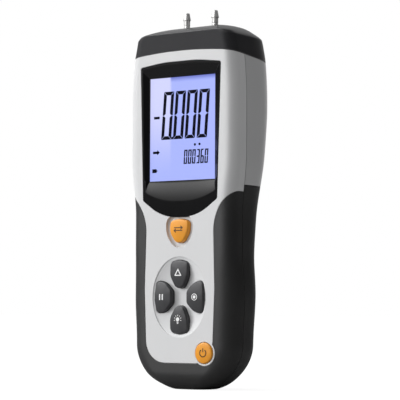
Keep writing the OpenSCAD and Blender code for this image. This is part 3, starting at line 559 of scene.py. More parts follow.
# The orange keys' pale rims are partly wear and partly a painted highlight
material("orange_key", 0.32, (226, 148, 38), (234, 158, 48), patch=220,
         spec=0.45, edge=0.3, wear_and_highlight=0.25, wear_and_highlight_colour=(240, 182, 92))
material("dark_key", 0.42, (57, 57, 59), (65, 65, 67), patch=240, grain=0.09, grain_size=0.22,
         spec=0.4, edge=0.3, wear_and_highlight=0.3, wear_and_highlight_colour=(92, 92, 94))
material("white_mark", 0.5, (236, 236, 236), (244, 244, 244), patch=400, grain_size=0.15, edge=0.05)
material("dark_mark", 0.5, (38, 26, 12), (46, 32, 16), patch=400, grain_size=0.15, edge=0.05)
material("display_segment", 0.5, (4, 4, 18), (7, 7, 24), patch=300, grain=0.02, grain_size=0.2,
         spec=0.05, edge=0.03)
material("nickel", 0.24, (224, 224, 224), (232, 231, 229), patch=300, grain=0.02, grain_size=0.2,
         metallic=0.4, edge=0.12, wear_and_highlight=0.3, wear_and_highlight_colour=(232, 231, 228))
material("steel", 0.27, (176, 177, 180), (190, 190, 192), patch=300, grain_size=0.2,
         metallic=1.0, edge=0.1, wear_and_highlight=0.3, wear_and_highlight_colour=(220, 220, 222))
material("brass", 0.28, (196, 158, 84), (208, 172, 98), patch=300, grain_size=0.2,
         metallic=1.0, edge=0.1, wear_and_highlight=0.3, wear_and_highlight_colour=(226, 196, 130))
material("door_plastic", 0.4, (178, 179, 180), (186, 186, 187), grain=0.05, grain_size=0.35,
         spec=0.4, edge=0.35, wear_and_highlight=0.25, wear_and_highlight_colour=(206, 206, 207))
material("stand_plastic", 0.42, (44, 44, 46), (50, 50, 52), patch=80, grain=0.07, grain_size=0.3,
         spec=0.35, edge=0.35, wear_and_highlight=0.3, wear_and_highlight_colour=(80, 80, 82))
material("white_plastic", 0.4, (232, 232, 230), (238, 238, 236), patch=90)
material("elastomer", 0.6, (196, 92, 120), (206, 104, 130), patch=300, grain=0.08, spec=0.3)
material("key_mat", 0.6, (74, 74, 78), (82, 82, 86), patch=120, grain=0.08, spec=0.3)
material("cream_plastic", 0.45, (214, 206, 188), (222, 214, 198), patch=120, grain=0.05)
material("silicone", 0.4, (206, 210, 214), (216, 219, 222), patch=200, grain=0.04,
         transmission=0.35, ior=1.41)
material("black_plastic", 0.45, (34, 34, 35), (40, 40, 41), patch=150, grain=0.06)
material("foam", 0.9, (52, 52, 54), (70, 70, 72), patch=1200, grain=0.25, grain_size=0.5, spec=0.1)
material("sensor_plastic", 0.4, (40, 52, 78), (46, 58, 86), patch=150, grain=0.05)
material("components", 0.4, (36, 36, 38), (46, 46, 50), patch=600, grain=0.05)

# Board: green solder mask with paler lines across it
tree = material("circuit_board", 0.35, (20, 84, 48), (26, 96, 56), patch=200, coat=0.3)
upright = add(tree, "Mapping", {"Vector": place_in(tree), "Rotation": (math.radians(90), 0, 0)})
tracks = add(tree, "TexBrick", {"Vector": upright.outputs[0], "Scale": 260, "Mortar Size": 0.05})
overlay(tree, tracks.outputs["Fac"], (52, 128, 78))

# Battery: dark jacket, and a metal top above the jacket's edge
JACKET_TOP = 62.95
tree = material("battery_jacket", 0.35, (38, 46, 66), patch=150)
over = maths(tree, "GREATER_THAN", axes_in(tree)["Z"], JACKET_TOP * MM)
overlay(tree, over, (190, 190, 192))
tree.links.new(over, principled(tree).inputs["Metallic"])

# Leads: red on the left side, black on the right
tree = material("leads", 0.4, (176, 24, 22), patch=200)
overlay(tree, maths(tree, "GREATER_THAN", axes_in(tree)["X"], 0.0), (28, 28, 29))


def lcd_material():
    """Backlit glass: pale blue, with a paler patch towards the upper left and a painted shadow of the
    bezel along the top.
    """
    tree = new_material("lcd")
    x, z = axes_in(tree)["X"], axes_in(tree)["Z"]

    def fade(value, lo, hi):
        return ramp(tree, value, (lo * MM, hi * MM), kind="SMOOTHSTEP")

    patch = maths(tree, "MULTIPLY", fade(x, -7.8, -10.2), fade(z, 118, 166))
    colour = mix(tree, patch, srgb(168, 180, 252), srgb(210, 212, 254))
    colour = mix(tree, ramp(tree, noise(tree, 120), end=(0, 0.07)), colour, srgb(200, 208, 255))
    top = VIEW_LOW + VIEW_H
    # Painted shadow of the bezel's top wall, along the top edge towards the right
    painted_bezel_shadow = maths(tree, "MULTIPLY", fade(x, -9.8, -8.4), fade(z, top - 3.2, top + 0.4))
    colour = mix(tree, painted_bezel_shadow, colour, srgb(112, 122, 204))
    bsdf = principled(tree)
    bsdf.inputs["Roughness"].default_value = 0.25
    bsdf.inputs["Specular IOR Level"].default_value = 0.2
    bsdf.inputs["Base Color"].default_value = (0.02, 0.025, 0.05, 1)
    bsdf.inputs["Emission Strength"].default_value = 1.06
    tree.links.new(colour, bsdf.inputs["Emission Color"])


def lens_material():
    """Clear window: a thin sheet that only adds its gloss."""
    tree = new_material("clear_lens")
    bsdf = principled(tree)
    bsdf.inputs["Base Color"].default_value = (0.012, 0.012, 0.014, 1)
    bsdf.inputs["IOR"].default_value = 1.49
    bsdf.inputs["Specular IOR Level"].default_value = 0.2
    bsdf.inputs["Alpha"].default_value = 0.03
    tree.links.new(ramp(tree, noise(tree, 140), end=(0.03, 0.08)), bsdf.inputs["Roughness"])


lcd_material()
lens_material()


def finish(obj, name, on, slot, *stands_for, mat=None, angle=32):
    """Names a piece, shades it smooth, gives it the material named by mat or else by slot, puts it on
    its body and hides the CAD nodes it stands for.
    """
    obj.name = obj.data.name = name
    smooth(obj, angle)
    obj.data.materials.clear()
    obj.data.materials.append(M[mat or slot])
    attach(obj, on)
    if stands_for:
        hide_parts(*stands_for)


# Camera, as fitted to the photograph: angles in degrees, place in mm, focal length in pixels
CAM_ANGLES = (35.2513, 3.5737, 0.2567)
CAM_RIGHT, CAM_BACK, CAM_UP = 11.635, 1000.17, 45.158
CAM_FOCAL, PHOTO_W, SENSOR_W = 1759.61, 400, 36


def make_camera():
    turn, pitch, roll = (math.radians(v) for v in CAM_ANGLES)
    right = Vector((math.cos(turn), math.sin(turn), 0))
    ahead = Vector((-math.sin(turn), math.cos(turn), 0))
    z = Vector((0, 0, 1))
    at = (Vector((0, FRONT, 0)) + right * CAM_RIGHT - ahead * CAM_BACK + z * CAM_UP) * MM
    look = ahead * math.cos(pitch) + z * math.sin(pitch)
    up = z * math.cos(pitch) - ahead * math.sin(pitch)
    side = right * math.cos(roll) + up * math.sin(roll)
    top = up * math.cos(roll) - right * math.sin(roll)
    cam = bpy.data.cameras.new("camera")
    cam.sensor_fit = "HORIZONTAL"
    cam.sensor_width = SENSOR_W
    cam.lens = CAM_FOCAL / PHOTO_W * SENSOR_W
    cam.clip_end = 50
    obj = bpy.data.objects.new("camera", cam)
    bpy.context.scene.collection.objects.link(obj)
    obj.matrix_world = Matrix([(side[i], top[i], -look[i], at[i]) for i in range(3)] + [(0, 0, 0, 1)])
    bpy.context.scene.camera = obj


make_camera()


# Housing
def below_cap(raised):
    """Everything below the arched lower edge of the cap."""
    arch_d, arch_sides, fall = 560, 360, math.radians(-4.8)
    obj = loft([[(a, y, b - arch_d / 2) for a, b in circle(arch_d, 0, 0, arch_sides)]
                for y in (-FAR, FAR)])
    return tilted(obj, FRONT, CAP_EDGE + 0.7 + raised, fall)


def dish_tool():
    """Shallow elliptical bowl with a small rounded lip."""
    a, b = DISH_W / 2, DISH_H / 2
    rings = []
    for k in range(1, 13):
        s = k / 12
        at = [(s * a * c, s * b * t) for c, t in circle(2, n=96)]
        rings.append([(x, FRONT + DISH_DEEP
                       - (DISH_DEEP - DISH_LIP) * ((x / a) ** 2 + (z / b) ** 2) ** 1.5,
                       DISH_Z + z) for x, z in at])
    edge = rings[-1]
    for grow, y in ((1.012, FRONT + 0.02), (1.02, FRONT - 3)):
        rings.append([(grow * x, y, DISH_Z + grow * (z - DISH_Z)) for x, _, z in edge])
    return loft(rings, None, (0, FRONT + DISH_DEEP, DISH_Z))


def front_zone(grow):
    """Where the grip lies in front of the parting line."""
    free = join(prism(grown(panel, -grow), -FAR, SEAM + 2),
                cylinder(COLLAR_D - 2 * grow, POWER_X, POWER_Z, -FAR, SEAM + 2, 96))
    return cut(block((-FAR, -FAR, -FAR), (FAR, SEAM + 1, GRIP_TOP + grow)), free)


def rear_zone(grow):
    """Where the grip lies behind the parting line."""
    return cut(block((-FAR, SEAM - 1, -FAR), (FAR, FAR, GRIP_TOP + grow)),
               prism(grown(back_panel, -grow), SEAM - 2, FAR + 1))


def front_half():
    return block((-FAR, -FAR, -FAR), (FAR, SEAM - GAP, 2 * FAR))


def rear_half():
    return block((-FAR, SEAM + GAP, -FAR), (FAR, FAR, 2 * FAR))


full = body(0)
under = body(GRIP_T)
groove = cut(common(body(-GROOVE_DEEP), block((-FAR, SEAM - GROOVE_HALF, -FAR),
                                              (FAR, SEAM + GROOVE_HALF, 2 * FAR))),
             body(GROOVE_DEEP))


def make_shell(half, zone):
    """Hollow case half: full skin beside the grip, and a wall under the grip."""
    obj = cut(common(twin(full), half()), zone(GAP))
    join(obj, common(twin(under), half()))
    common(obj, below_cap(-GAP))
    return cut(obj, core(SKIN))


def make_grip(half, zone):
    return cut(common(twin(full), half(), zone(-GAP)), twin(under))


UNITS_RIM, UNITS_DEEP = 2.8, 1.7    # recess round the units key
POCKET_D = 14.3                     # room for the power key's flange
front_shell = make_shell(front_half, front_zone)
join(front_shell, *[cylinder(CASE_BOSS_D, x, z, FRONT + (4.8 if z < GRIP_TOP else 2), SEAM - GAP, 32)
                    for x, z in CASE_SCREWS])
join(front_shell, *[cylinder(BOARD_BOSS_D, x, z, FRONT + 2, BOARD_BACK - BOARD_T, 32)
                    for x, z in BOARD_SCREWS])
cut(front_shell, prism(window_line(0.15), -FAR, SEAM), prism(window_line(1.35), INNER, SEAM),
    cylinder(POCKET_D, POWER_X, POWER_Z, INNER, SEAM), dish_tool(),
    prism(grown(KEYS["units_key"][0], UNITS_RIM), -FAR, FRONT + UNITS_DEEP),
    *[prism(grown(line, KEY_GAP), -FAR, SEAM) for line, _ in KEYS.values()],
    *[cylinder(CASE_PILOT_D, x, z, SEAM - 6, FAR, 24) for x, z in CASE_SCREWS],
    *[cylinder(BOARD_PILOT_D, x, z, BOARD_BACK - BOARD_T - 4.5, FAR, 24) for x, z in BOARD_SCREWS],
    twin(groove))
finish(front_shell, "front_shell", "housing", "silver_shell", "front_case")

front_grip = cut(make_grip(front_half, front_zone), twin(groove))
finish(front_grip, "grip_front", "housing", "soft_grip", "front_grip")

# Battery bay, stand seat and tripod boss of the rear case
BAY_Y = BOARD_BACK + 2.7
BAY_LOW, BAY_TOP = 16.5, 70.5
BAY_HALF, BAY_WALL = 26.2 / 2 + 0.4, 1.2
DOOR_Y = FRONT + HANDLE_D - 2.2
DOOR_SCREW_Z = BAY_TOP + 4.1
DOOR_HOLE_D = 3.2
SCREW_SEAT, SCREW_TOP, SCREW_TIP = SEAM + 4, SEAM + 6.2, SEAM - 6
WELL_D = 5.5
STAND_LOW = DOOR_TOP + 3
STAND_AXIS = 0.576 * CASE_H
STAND_HALF, STAND_T = 16, 2.4
STAND_LOW_Y, STAND_HIGH_Y = back_at(STAND_LOW), back_at(STAND_AXIS)
STAND_SLOPE = math.atan((STAND_HIGH_Y - STAND_LOW_Y) / (STAND_AXIS - STAND_LOW))
STAND_SAG = max(STAND_LOW_Y + (STAND_HIGH_Y - STAND_LOW_Y) * k / 8
                - back_at(STAND_LOW + (STAND_AXIS - STAND_LOW) * k / 8) for k in range(9))
SEAT_T = STAND_T + STAND_SAG + 0.15
SEAT_GAP, SEAT_WALL = 0.4, 1.6
SEAT_SIDE = 2 + 0.8
KNUCKLE, KNUCKLE_HALF, HINGE_ROOM = 3.2, 15.85, 16.55     # the hinge's radius and half lengths
PIN_D, PIN_HALF, PIN_HOLE_D, PIN_HOLE_HALF = 3, 18, 3.2, 18.4
STAND_Y = STAND_HIGH_Y - KNUCKLE - 0.7
TRIPOD_Z = 0.7 * CASE_H
TRIPOD_Y = back_at(TRIPOD_Z) - 0.7
TRIPOD_D, TRIPOD_RIM_D, TRIPOD_DEEP = 9, 13, 8.8


def wedge(depth, grow, top, end_z):
    """Block under the slanted back where the stand lies."""
    obj = block((-STAND_HALF - grow, 0, -grow), (STAND_HALF + grow, top, end_z - STAND_LOW))
    return tilted(obj, STAND_LOW_Y - depth, STAND_LOW, -STAND_SLOPE)


def along_hinge(d, half):
    at = circle(d, STAND_Y, STAND_AXIS)
    return loft([[(x, y, z) for y, z in at] for x in (-half, half)])


def bay_square(grow, r=0.0):
    return square(BAY_HALF + grow, BAY_LOW - grow, BAY_TOP + grow, r, 6)


rear_shell = make_shell(rear_half, rear_zone)
join(rear_shell, *[cylinder(SLEEVE_D, x, z, SEAM + GAP, SCREW_TOP, 32) for x, z in CASE_SCREWS])
tub = join(wedge(SEAT_T + SEAT_GAP + SEAT_WALL, SEAT_SIDE, SEAT_T, STAND_AXIS),
           along_hinge(2 * (KNUCKLE + 2.0), STAND_HALF + SEAT_SIDE + 0.15))
lid = tilted(block((-FAR, -FAR, -FAR), (FAR, 0, FAR)), STAND_LOW_Y - STAND_T, STAND_LOW, -STAND_SLOPE)
join(rear_shell, prism(bay_square(BAY_WALL), BAY_Y - BAY_WALL, DOOR_Y),
     cylinder(7, 0, DOOR_SCREW_Z, BAY_Y - BAY_WALL, DOOR_Y, 32), common(tub, lid),
     cylinder(TRIPOD_RIM_D, 0, TRIPOD_Z, TRIPOD_Y - 10.2, TRIPOD_Y - 1.4, 48))
for x, z in CASE_SCREWS:
    cut(rear_shell, cylinder(CLEAR_D, x, z, SEAM - 1, FAR, 24),
        cylinder(WELL_D, x, z, SCREW_SEAT, FAR, 48))
cut(rear_shell, prism(bay_square(0, 1.0), BAY_Y, FAR), prism(grown(door_line, 0.3), DOOR_Y, FAR),
    cylinder(DOOR_HOLE_D, 0, DOOR_SCREW_Z, BAY_Y, FAR, 32),
    wedge(SEAT_T + SEAT_GAP, SEAT_GAP, FAR, STAND_AXIS + KNUCKLE),
    along_hinge(2 * (KNUCKLE + SEAT_GAP), HINGE_ROOM), along_hinge(PIN_HOLE_D, PIN_HOLE_HALF),
    cylinder(TRIPOD_D, 0, TRIPOD_Z, TRIPOD_Y - TRIPOD_DEEP, FAR),
    cylinder(TRIPOD_RIM_D, 0, TRIPOD_Z, TRIPOD_Y, FAR), twin(groove))
finish(rear_shell, "rear_shell", "housing", "grey_shell", "rear_case")

rear_grip = cut(make_grip(rear_half, rear_zone),
                *[cylinder(WELL_D, x, z, SCREW_SEAT, FAR, 48) for x, z in CASE_SCREWS], twin(groove))
finish(rear_grip, "grip_rear", "housing", "soft_grip", "rear_grip")

# Cap with its two port holes
PORT_X, PORT_Y = 10.0, FRONT + 20.3
PORT_HOLE_D, CAP_T = 4.1, 2.4
cap = cut(twin(full), below_cap(GAP))
cut(cap, cut(core(CAP_T), below_cap(1.2)))
for x in (-PORT_X, PORT_X):
    cut(cap, loft([[(a, b, z) for a, b in circle(PORT_HOLE_D, x, PORT_Y)]
                   for z in (CASE_H - 20, CASE_H + 50)]))
finish(cap, "cap", "housing", "dark_cap", "top_cap")
for obj in (full, under, groove):
    bpy.data.objects.remove(obj)


# Display
def apron_tool():
    """Funnel from the window's edge down to the view, with a curved apron below."""
    line, fine = window_line(-0.8), []
    for i, p in enumerate(line):
        q = line[(i + 1) % len(line)]
        steps = max(1, int(math.hypot(q[0] - p[0], q[1] - p[1]) / 2.0))
        fine += [(p[0] + (q[0] - p[0]) * k / steps, p[1] + (q[1] - p[1]) * k / steps)
                 for k in range(steps)]
    rings, n = [], 16
    for k in range(n, -1, -1):
        s, section = k / n, []
        for x, z in fine:
            tx = max(-VIEW_W / 2, min(VIEW_W / 2, x))
            tz = max(VIEW_LOW, min(VIEW_LOW + VIEW_H, z))
            section.append((x + s * 0.98 * (tx - x),
                            FRONT + BEZEL_D * s ** (2.8 if z < VIEW_LOW else 1.0),
                            z + s * 0.98 * (tz - z)))
        rings.append(section)
    rings.append([(x, FRONT - 2, z) for x, z in fine])
    return loft(rings)


bezel = join(prism(window_line(0), FRONT + 0.15, BEZEL_FLANGE),
             prism(window_line(1.2), BEZEL_FLANGE, BEZEL_BACK))
cut(bezel, apron_tool(), prism(view_square(0), -FAR, FAR), prism(view_square(1.65), LENS_Y, FAR),
    prism(view_square(2.15), LCD_Y, FAR), prism(grown(KEYS["units_key"][0], 1.15), INNER, FAR))
finish(bezel, "bezel", "housing", "dark_bezel", "display_bezel", angle=40)

lens = prism(rounded(view_square(1.5), [1] * 4, 6), LENS_Y, LCD_Y - 0.2)
finish(lens, "lens", "housing", "clear_lens", "display_lens")

seg_verts, seg_faces = [], []
SEGMENT_Y = (LCD_Y - 0.06, LCD_Y - 0.004)


def bar(outline):
    """One printed segment on the face of the glass."""
    n = len(outline)
    base = len(seg_verts)
    seg_verts.extend((x, y, z) for y in SEGMENT_Y for x, z in outline)
    area = sum(outline[i][0] * outline[(i + 1) % n][1] - outline[(i + 1) % n][0] * outline[i][1]
               for i in range(n))
    order = list(range(n)) if area > 0 else list(range(n - 1, -1, -1))
    seg_faces.append(tuple(base + i for i in order))
    seg_faces.append(tuple(base + n + i for i in reversed(order)))
    for k in range(n):
        a, b = order[k], order[(k + 1) % n]
        seg_faces.append((base + a, base + n + a, base + n + b, base + b))


SHAPES = {"0": "abcdef", "3": "abgcd", "6": "afgedc"}


def digit(char, x, z, w, h, t, g, slant):
    """Seven-segment digit of stroke t, with gaps g and its lower left corner at x, z."""
    hw, m = t / 2, h / 2

    def upright(x0, lo, hi, s):
        if lo == 0:
            return [(x0, lo + g), (x0, hi - g), (x0 + s * hw, hi - g), (x0 + s * t, hi - g - hw),
                    (x0 + s * t, lo + g + t)]
        return [(x0, lo + g), (x0, hi - g), (x0 + s * t, hi - g - t), (x0 + s * t, lo + g + hw),
                (x0 + s * hw, lo + g)]

    parts = {
        "a": [(g, h), (w - g, h), (w - g - t, h - t), (g + t, h - t)],
        "d": [(g, 0), (g + t, t), (w - g - t, t), (w - g, 0)],
        "g": [(g + hw * 0.2, m), (g + hw * 1.1, m + hw), (w - g - hw * 1.1, m + hw),
              (w - g - hw * 0.2, m), (w - g - hw * 1.1, m - hw), (g + hw * 1.1, m - hw)],
        "b": upright(w, m, h, -1), "c": upright(w, 0, m, -1),
        "f": upright(0, m, h, 1), "e": upright(0, 0, m, 1)}
    for s in SHAPES[char]:
        bar([(x + px + slant * pz, z + pz) for px, pz in parts[s]])


# Main reading with its minus and point, then the count below it
READING = {"z": 142.9, "w": 7.15, "h": 27.7, "t": 2.05, "g": 0.16, "slant": 0.075}
COUNT = {"z": 128.3, "w": 2.35, "h": 8.2, "t": 0.84, "g": 0.05, "slant": 0.06}
for x in (-15.75, -7.35, 0.95, 9.35):
    digit("0", x, **READING)
bar([(-20.9, 155.1), (-16.9, 155.1), (-16.9, 156.6), (-20.9, 156.6)])
bar([(-8.5, 142.9), (-7.35, 142.9), (-7.22, 144.4), (-8.37, 144.4)])
for i, char in enumerate("000360"):
    digit(char, 0.3 + 2.9 * i, **COUNT)
# Three small plain marks: a dot pair, an arrow and a cell with its charge
bar(circle(1.5, 8.2, 139.2, 20))
bar(circle(1.5, 11.4, 139.3, 20))
bar([(-21.5, 135.0), (-18.4, 135.0), (-18.4, 134.2), (-16.6, 135.7), (-18.4, 137.2), (-18.4, 136.4),
     (-21.5, 136.4)])
bar([(-21.9, 124.0), (-18.9, 124.0), (-18.9, 124.7), (-18.3, 124.7), (-18.3, 125.5), (-18.9, 125.5),
     (-18.9, 126.2), (-21.9, 126.2)])
digits = new_object(seg_verts, seg_faces)
finish(digits, "display_segments", "housing", "lcd", mat="display_segment")

# Keys: domed caps with a rounded edge and a flange behind the face
KEY_TOP = FRONT - KEY_PROUD + 0.055
DOME_R = 30
KEY_ROUND, KEY_FLANGE = 0.9, 0.9
SIGN_FOOT, SIGN_RISE = 0.05, 0.12


def dome_y(x, z, cx, cz):
    return KEY_TOP + DOME_R - math.sqrt(DOME_R ** 2 - (x - cx) ** 2 - (z - cz) ** 2)


def make_key(name, slot):
    line, (cx, cz) = KEYS[name]
    mid = np.array(line).mean(0)
    flange = grown(line, KEY_FLANGE)
    rings = [[(x, y, z) for x, z in at]
             for at, y in ((flange, INNER + 1.05), (flange, INNER + 0.05), (line, INNER + 0.05))]
    for k in range(8):
        a = math.pi / 2 * k / 7
        inset, drop = KEY_ROUND * (1 - math.cos(a)), KEY_ROUND * (1 - math.sin(a))
        at = grown(line, -inset) if inset else line
        rings.append([(x, dome_y(x, z, cx, cz) + drop, z) for x, z in at])
    inner = np.array(grown(line, -KEY_ROUND))
    for s in (0.85, 0.7, 0.55, 0.4, 0.25, 0.1):
        rings.append([(x, dome_y(x, z, cx, cz), z) for x, z in mid + (inner - mid) * s])
    key = loft(rings, (mid[0], dome_y(mid[0], mid[1], cx, cz), mid[1]))
    finish(key, name + "_cap", name + "_cap", slot, name, angle=45)


for name in KEYS:
    make_key(name, "orange_key" if name in ("units_key", "power_key") else "dark_key")


class Signs:
    """Closed raised strips and discs that follow a key's domed top."""

    def __init__(self, name):
        self.name, self.centre = name, KEYS[name + "_key"][1]
        self.verts, self.faces = [], []

    def put(self, flat):
        """Adds the points just below and just above the key's top."""
        base = len(self.verts)
        cx, cz = self.centre
        for off in (-SIGN_FOOT, SIGN_RISE):
            self.verts += [(cx + x, dome_y(cx + x, cz + z, cx, cz) + off, cz + z) for x, z in flat]
        return base

    def strip(self, path, width, closed=False):
        p = [np.array(q, float) for q in path]
        fine = []
        for i in range(len(p) if closed else len(p) - 1):
            a, b = p[i], p[(i + 1) % len(p)]
            steps = max(1, int(np.linalg.norm(b - a) / 0.4))
            fine += [a + (b - a) * k / steps for k in range(steps)]
        if not closed:
            fine.append(p[-1])
        n = len(fine)
        left, right = [], []
        for i in range(n):
            t1 = fine[i] - fine[i - 1] if closed or i > 0 else fine[1] - fine[0]
            t2 = fine[(i + 1) % n] - fine[i] if closed or i < n - 1 else fine[i] - fine[i - 1]
            t1, t2 = t1 / np.linalg.norm(t1), t2 / np.linalg.norm(t2)
            m = np.array([-(t1[1] + t2[1]), t1[0] + t2[0]])
            m = m / max(float(m @ m), 1.2) * 2
            left.append(fine[i] + m * width / 2)
            right.append(fine[i] - m * width / 2)
        base = self.put(left + right)
        up = 2 * n
        for i in range(n if closed else n - 1):
            j = (i + 1) % n
            l0, l1, r0, r1 = base + i, base + j, base + n + i, base + n + j
            self.faces += [(l0, l1, r1, r0), (l0 + up, r0 + up, r1 + up, l1 + up),
                           (l0, l0 + up, l1 + up, l1), (r0, r1, r1 + up, r0 + up)]
        if not closed:
            for i, step in ((0, 1), (n - 1, -1)):
                end = (base + i, base + n + i, base + n + i + up, base + i + up)
                self.faces.append(end[::step])

    def disc(self, d, x, z):
        n = 20
        up = n + 1
        base = self.put(circle(d, x, z, n) + [(x, z)])
        for i in range(n):
            j = (i + 1) % n
            self.faces += [(base + i, base + j, base + n),
                           (base + up + j, base + up + i, base + up + n),
                           (base + j, base + i, base + up + i, base + up + j)]

    def make(self, mat, slot):
        obj = new_object(self.verts, self.faces)
        finish(obj, self.name + "_sign", self.name + "_key_cap", slot, mat=mat)


signs = Signs("units")
for z, way in ((1.75, 1), (0.15, -1)):
    signs.strip([(-2.9 * way, z), (2.7 * way, z)], 0.5)
    signs.strip([(1.6 * way, z + 1.0), (2.8 * way, z), (1.6 * way, z - 1.0)], 0.5)
signs.make("dark_mark", "orange_key")

signs = Signs("difference")
signs.strip([(-2.0, -0.7), (2.0, -0.7), (0.0, 2.7)], 0.62, closed=True)
signs.make("white_mark", "dark_key")

signs = Signs("hold")
for x in (-0.95, 0.95):
    signs.strip([(x - 0.6, -1.7), (x - 0.6, 1.7)], 0.85)
signs.make("white_mark", "dark_key")

signs = Signs("record")
signs.strip(arc(1.75, 0, 360, 0.2, 0.0, 40)[:-1], 0.4, closed=True)
signs.disc(1.9, 0.2, 0.0)
signs.make("white_mark", "dark_key")

LAMP_Z = 0.35
signs = Signs("backlight")
signs.disc(2.3, 0, LAMP_Z)
signs.strip([(-0.62, -1.25), (0.62, -1.25)], 0.5)
signs.strip([(-0.5, -1.95), (0.5, -1.95)], 0.42)
for k in range(7):
    a = math.radians(-15 + 35 * k)
    signs.strip([(r * math.cos(a), LAMP_Z + r * math.sin(a)) for r in (1.85, 2.6)], 0.36)
signs.make("white_mark", "dark_key")

signs = Signs("power")
signs.strip(arc(2.1, 125, 415, 0, 0, 44), 0.55)
signs.strip([(0, 0.5), (0, 2.7)], 0.55)
signs.make("dark_mark", "orange_key")

# Ports: (radius, height) from the tail inside the clamp up to the barb's mouth
COLLAR_TOP = CASE_H - CAP_T - 0.5
COLLAR_LOW = COLLAR_TOP - 2.2
TAIL = COLLAR_LOW - 12
BARB = CASE_H + 4.1
port_profile = [
    (1.0, TAIL), (1.75, TAIL), (1.9, TAIL + 0.2), (1.9, COLLAR_LOW), (3.2, COLLAR_LOW),
    (3.2, COLLAR_TOP), (1.9, COLLAR_TOP), (1.9, CASE_H + 0.35), (1.78, CASE_H + 0.5),
    (1.78, CASE_H + 0.9), (1.9, CASE_H + 1.05), (1.9, BARB), (2.15, BARB), (2.3, BARB + 0.15),
    (2.3, CASE_H + 4.5), (2.22, CASE_H + 4.75), (1.62, CASE_H + 8.15), (1.5, CASE_H + 8.35),
    (1.4, CASE_H + 8.4), (1.12, CASE_H + 8.4), (1.0, CASE_H + 8.25)]
for name, x in (("left_port", -PORT_X), ("right_port", PORT_X)):
    port = turned(port_profile, along_z(x, PORT_Y), 72)
    finish(port, name + "_fitting", "housing", "nickel", name)

# Back: door with finger grooves, stand, screws and bush
DOOR_SEAT = DOOR_Y + 1.0
door = common(stretch(0, DOOR_LOW - 2.5, DOOR_TOP + 2.5), prism(grown(door_line, -0.02), DOOR_Y, FAR))
join(door, cut(prism(bay_square(-0.3), DOOR_Y - 1.5, DOOR_Y + 0.1),
               prism(bay_square(-1.5), DOOR_Y - 3, DOOR_Y + 0.05)))
cut(door, cylinder(DOOR_HOLE_D, 0, DOOR_SCREW_Z, -FAR, FAR, 32),
    cylinder(5.7, 0, DOOR_SCREW_Z, DOOR_SEAT, FAR, 48))
for k in range(5):
    z = 22.0 + 3.0 * k
    cut(door, prism(square(9.0 - k, z, z + 1.1, 0.5), back_at(z) - 0.35, FAR))
finish(door, "door", "door", "door_plastic", "battery_door")


def cross(x, z, y0, turn):
    """Cutter for a cross recess."""
    s, w = 1.5, 0.42
    outline = [(w, s), (-w, s), (-w, w), (-s, w), (-s, -w), (-w, -w), (-w, -s), (w, -s), (w, -w),
               (s, -w), (s, w), (w, w)]
    return prism(placed(outline, x, z, turn), y0, FAR)


def screw(x, z, head_d, seat, top, shank_d, tip, turn):
    """Screw with ridges round its shank and a cross in its head."""
    e = 0.25
    profile = [(0.4, tip), (shank_d / 2 - 0.2, tip + 0.4)]
    y = tip + 0.6
    while y < seat - 0.5:
        profile += [(shank_d / 2, y), (shank_d / 2 - 0.18, y + 0.3)]
        y += 0.6
    profile += [(shank_d / 2 - 0.05, seat), (head_d / 2 - e, seat), (head_d / 2, seat + e),
                (head_d / 2, top - e * 1.6), (head_d / 2 - e * 0.5, top - e * 0.5),
                (head_d / 2 - e * 1.6, top - 0.02), (0.3, top)]
    return cut(lathe(profile, along_y(x, z), 40), cross(x, z, top - 0.75, turn))


door_screw = screw(0, DOOR_SCREW_Z, head_d=5.4, seat=DOOR_SEAT, top=DOOR_SEAT + 1.05, shank_d=2.9,
                   tip=BAY_Y + 6, turn=20)
finish(door_screw, "door_screw_body", "door", "steel", "door_screw")

screws = join(*[screw(x, z, head_d=5.2, seat=SCREW_SEAT, top=SCREW_TOP, shank_d=CASE_PILOT_D,
                      tip=SCREW_TIP, turn=17 + 31 * i) for i, (x, z) in enumerate(CASE_SCREWS)])
finish(screws, "case_screw_set", "housing", "steel", "case_screws")

stand = common(stretch(0.15, STAND_LOW - 2.5, STAND_AXIS + 2 * KNUCKLE),
               wedge(SEAT_T, 0, FAR, STAND_AXIS - 2.1))
join(stand, along_hinge(2 * KNUCKLE, KNUCKLE_HALF), along_hinge(PIN_D, PIN_HALF))
for k in range(4):
    z = STAND_LOW + 3.0 + 2.6 * k
    cut(stand, prism(square(9, z, z + 1.1, 0.5), back_at(z) - 0.15 - 0.5, FAR))
cut(stand, prism(square(5.5, STAND_LOW - 4, STAND_LOW + 1.0, 0.9, 5), -FAR, FAR))
finish(stand, "stand", "stand", "stand_plastic", "tilt_stand")

CORE_R, THREAD_R = 2.6, 2.95
bush_profile = [(TRIPOD_D / 2, TRIPOD_Y - TRIPOD_DEEP), (TRIPOD_D / 2, TRIPOD_Y - 0.25),
                (4.25, TRIPOD_Y), (THREAD_R, TRIPOD_Y)]
y = TRIPOD_Y - 0.4
while y > TRIPOD_Y - 7.6:
    bush_profile += [(CORE_R, y), (THREAD_R, y - 0.32)]
    y -= 0.64
bush_profile += [(CORE_R, TRIPOD_Y - 8.0), (0.05, TRIPOD_Y - 8.0), (0.05, TRIPOD_Y - TRIPOD_DEEP)]
bush = turned(bush_profile, along_y(0, TRIPOD_Z), 64)
finish(bush, "tripod_bush", "housing", "brass", "tripod_insert")

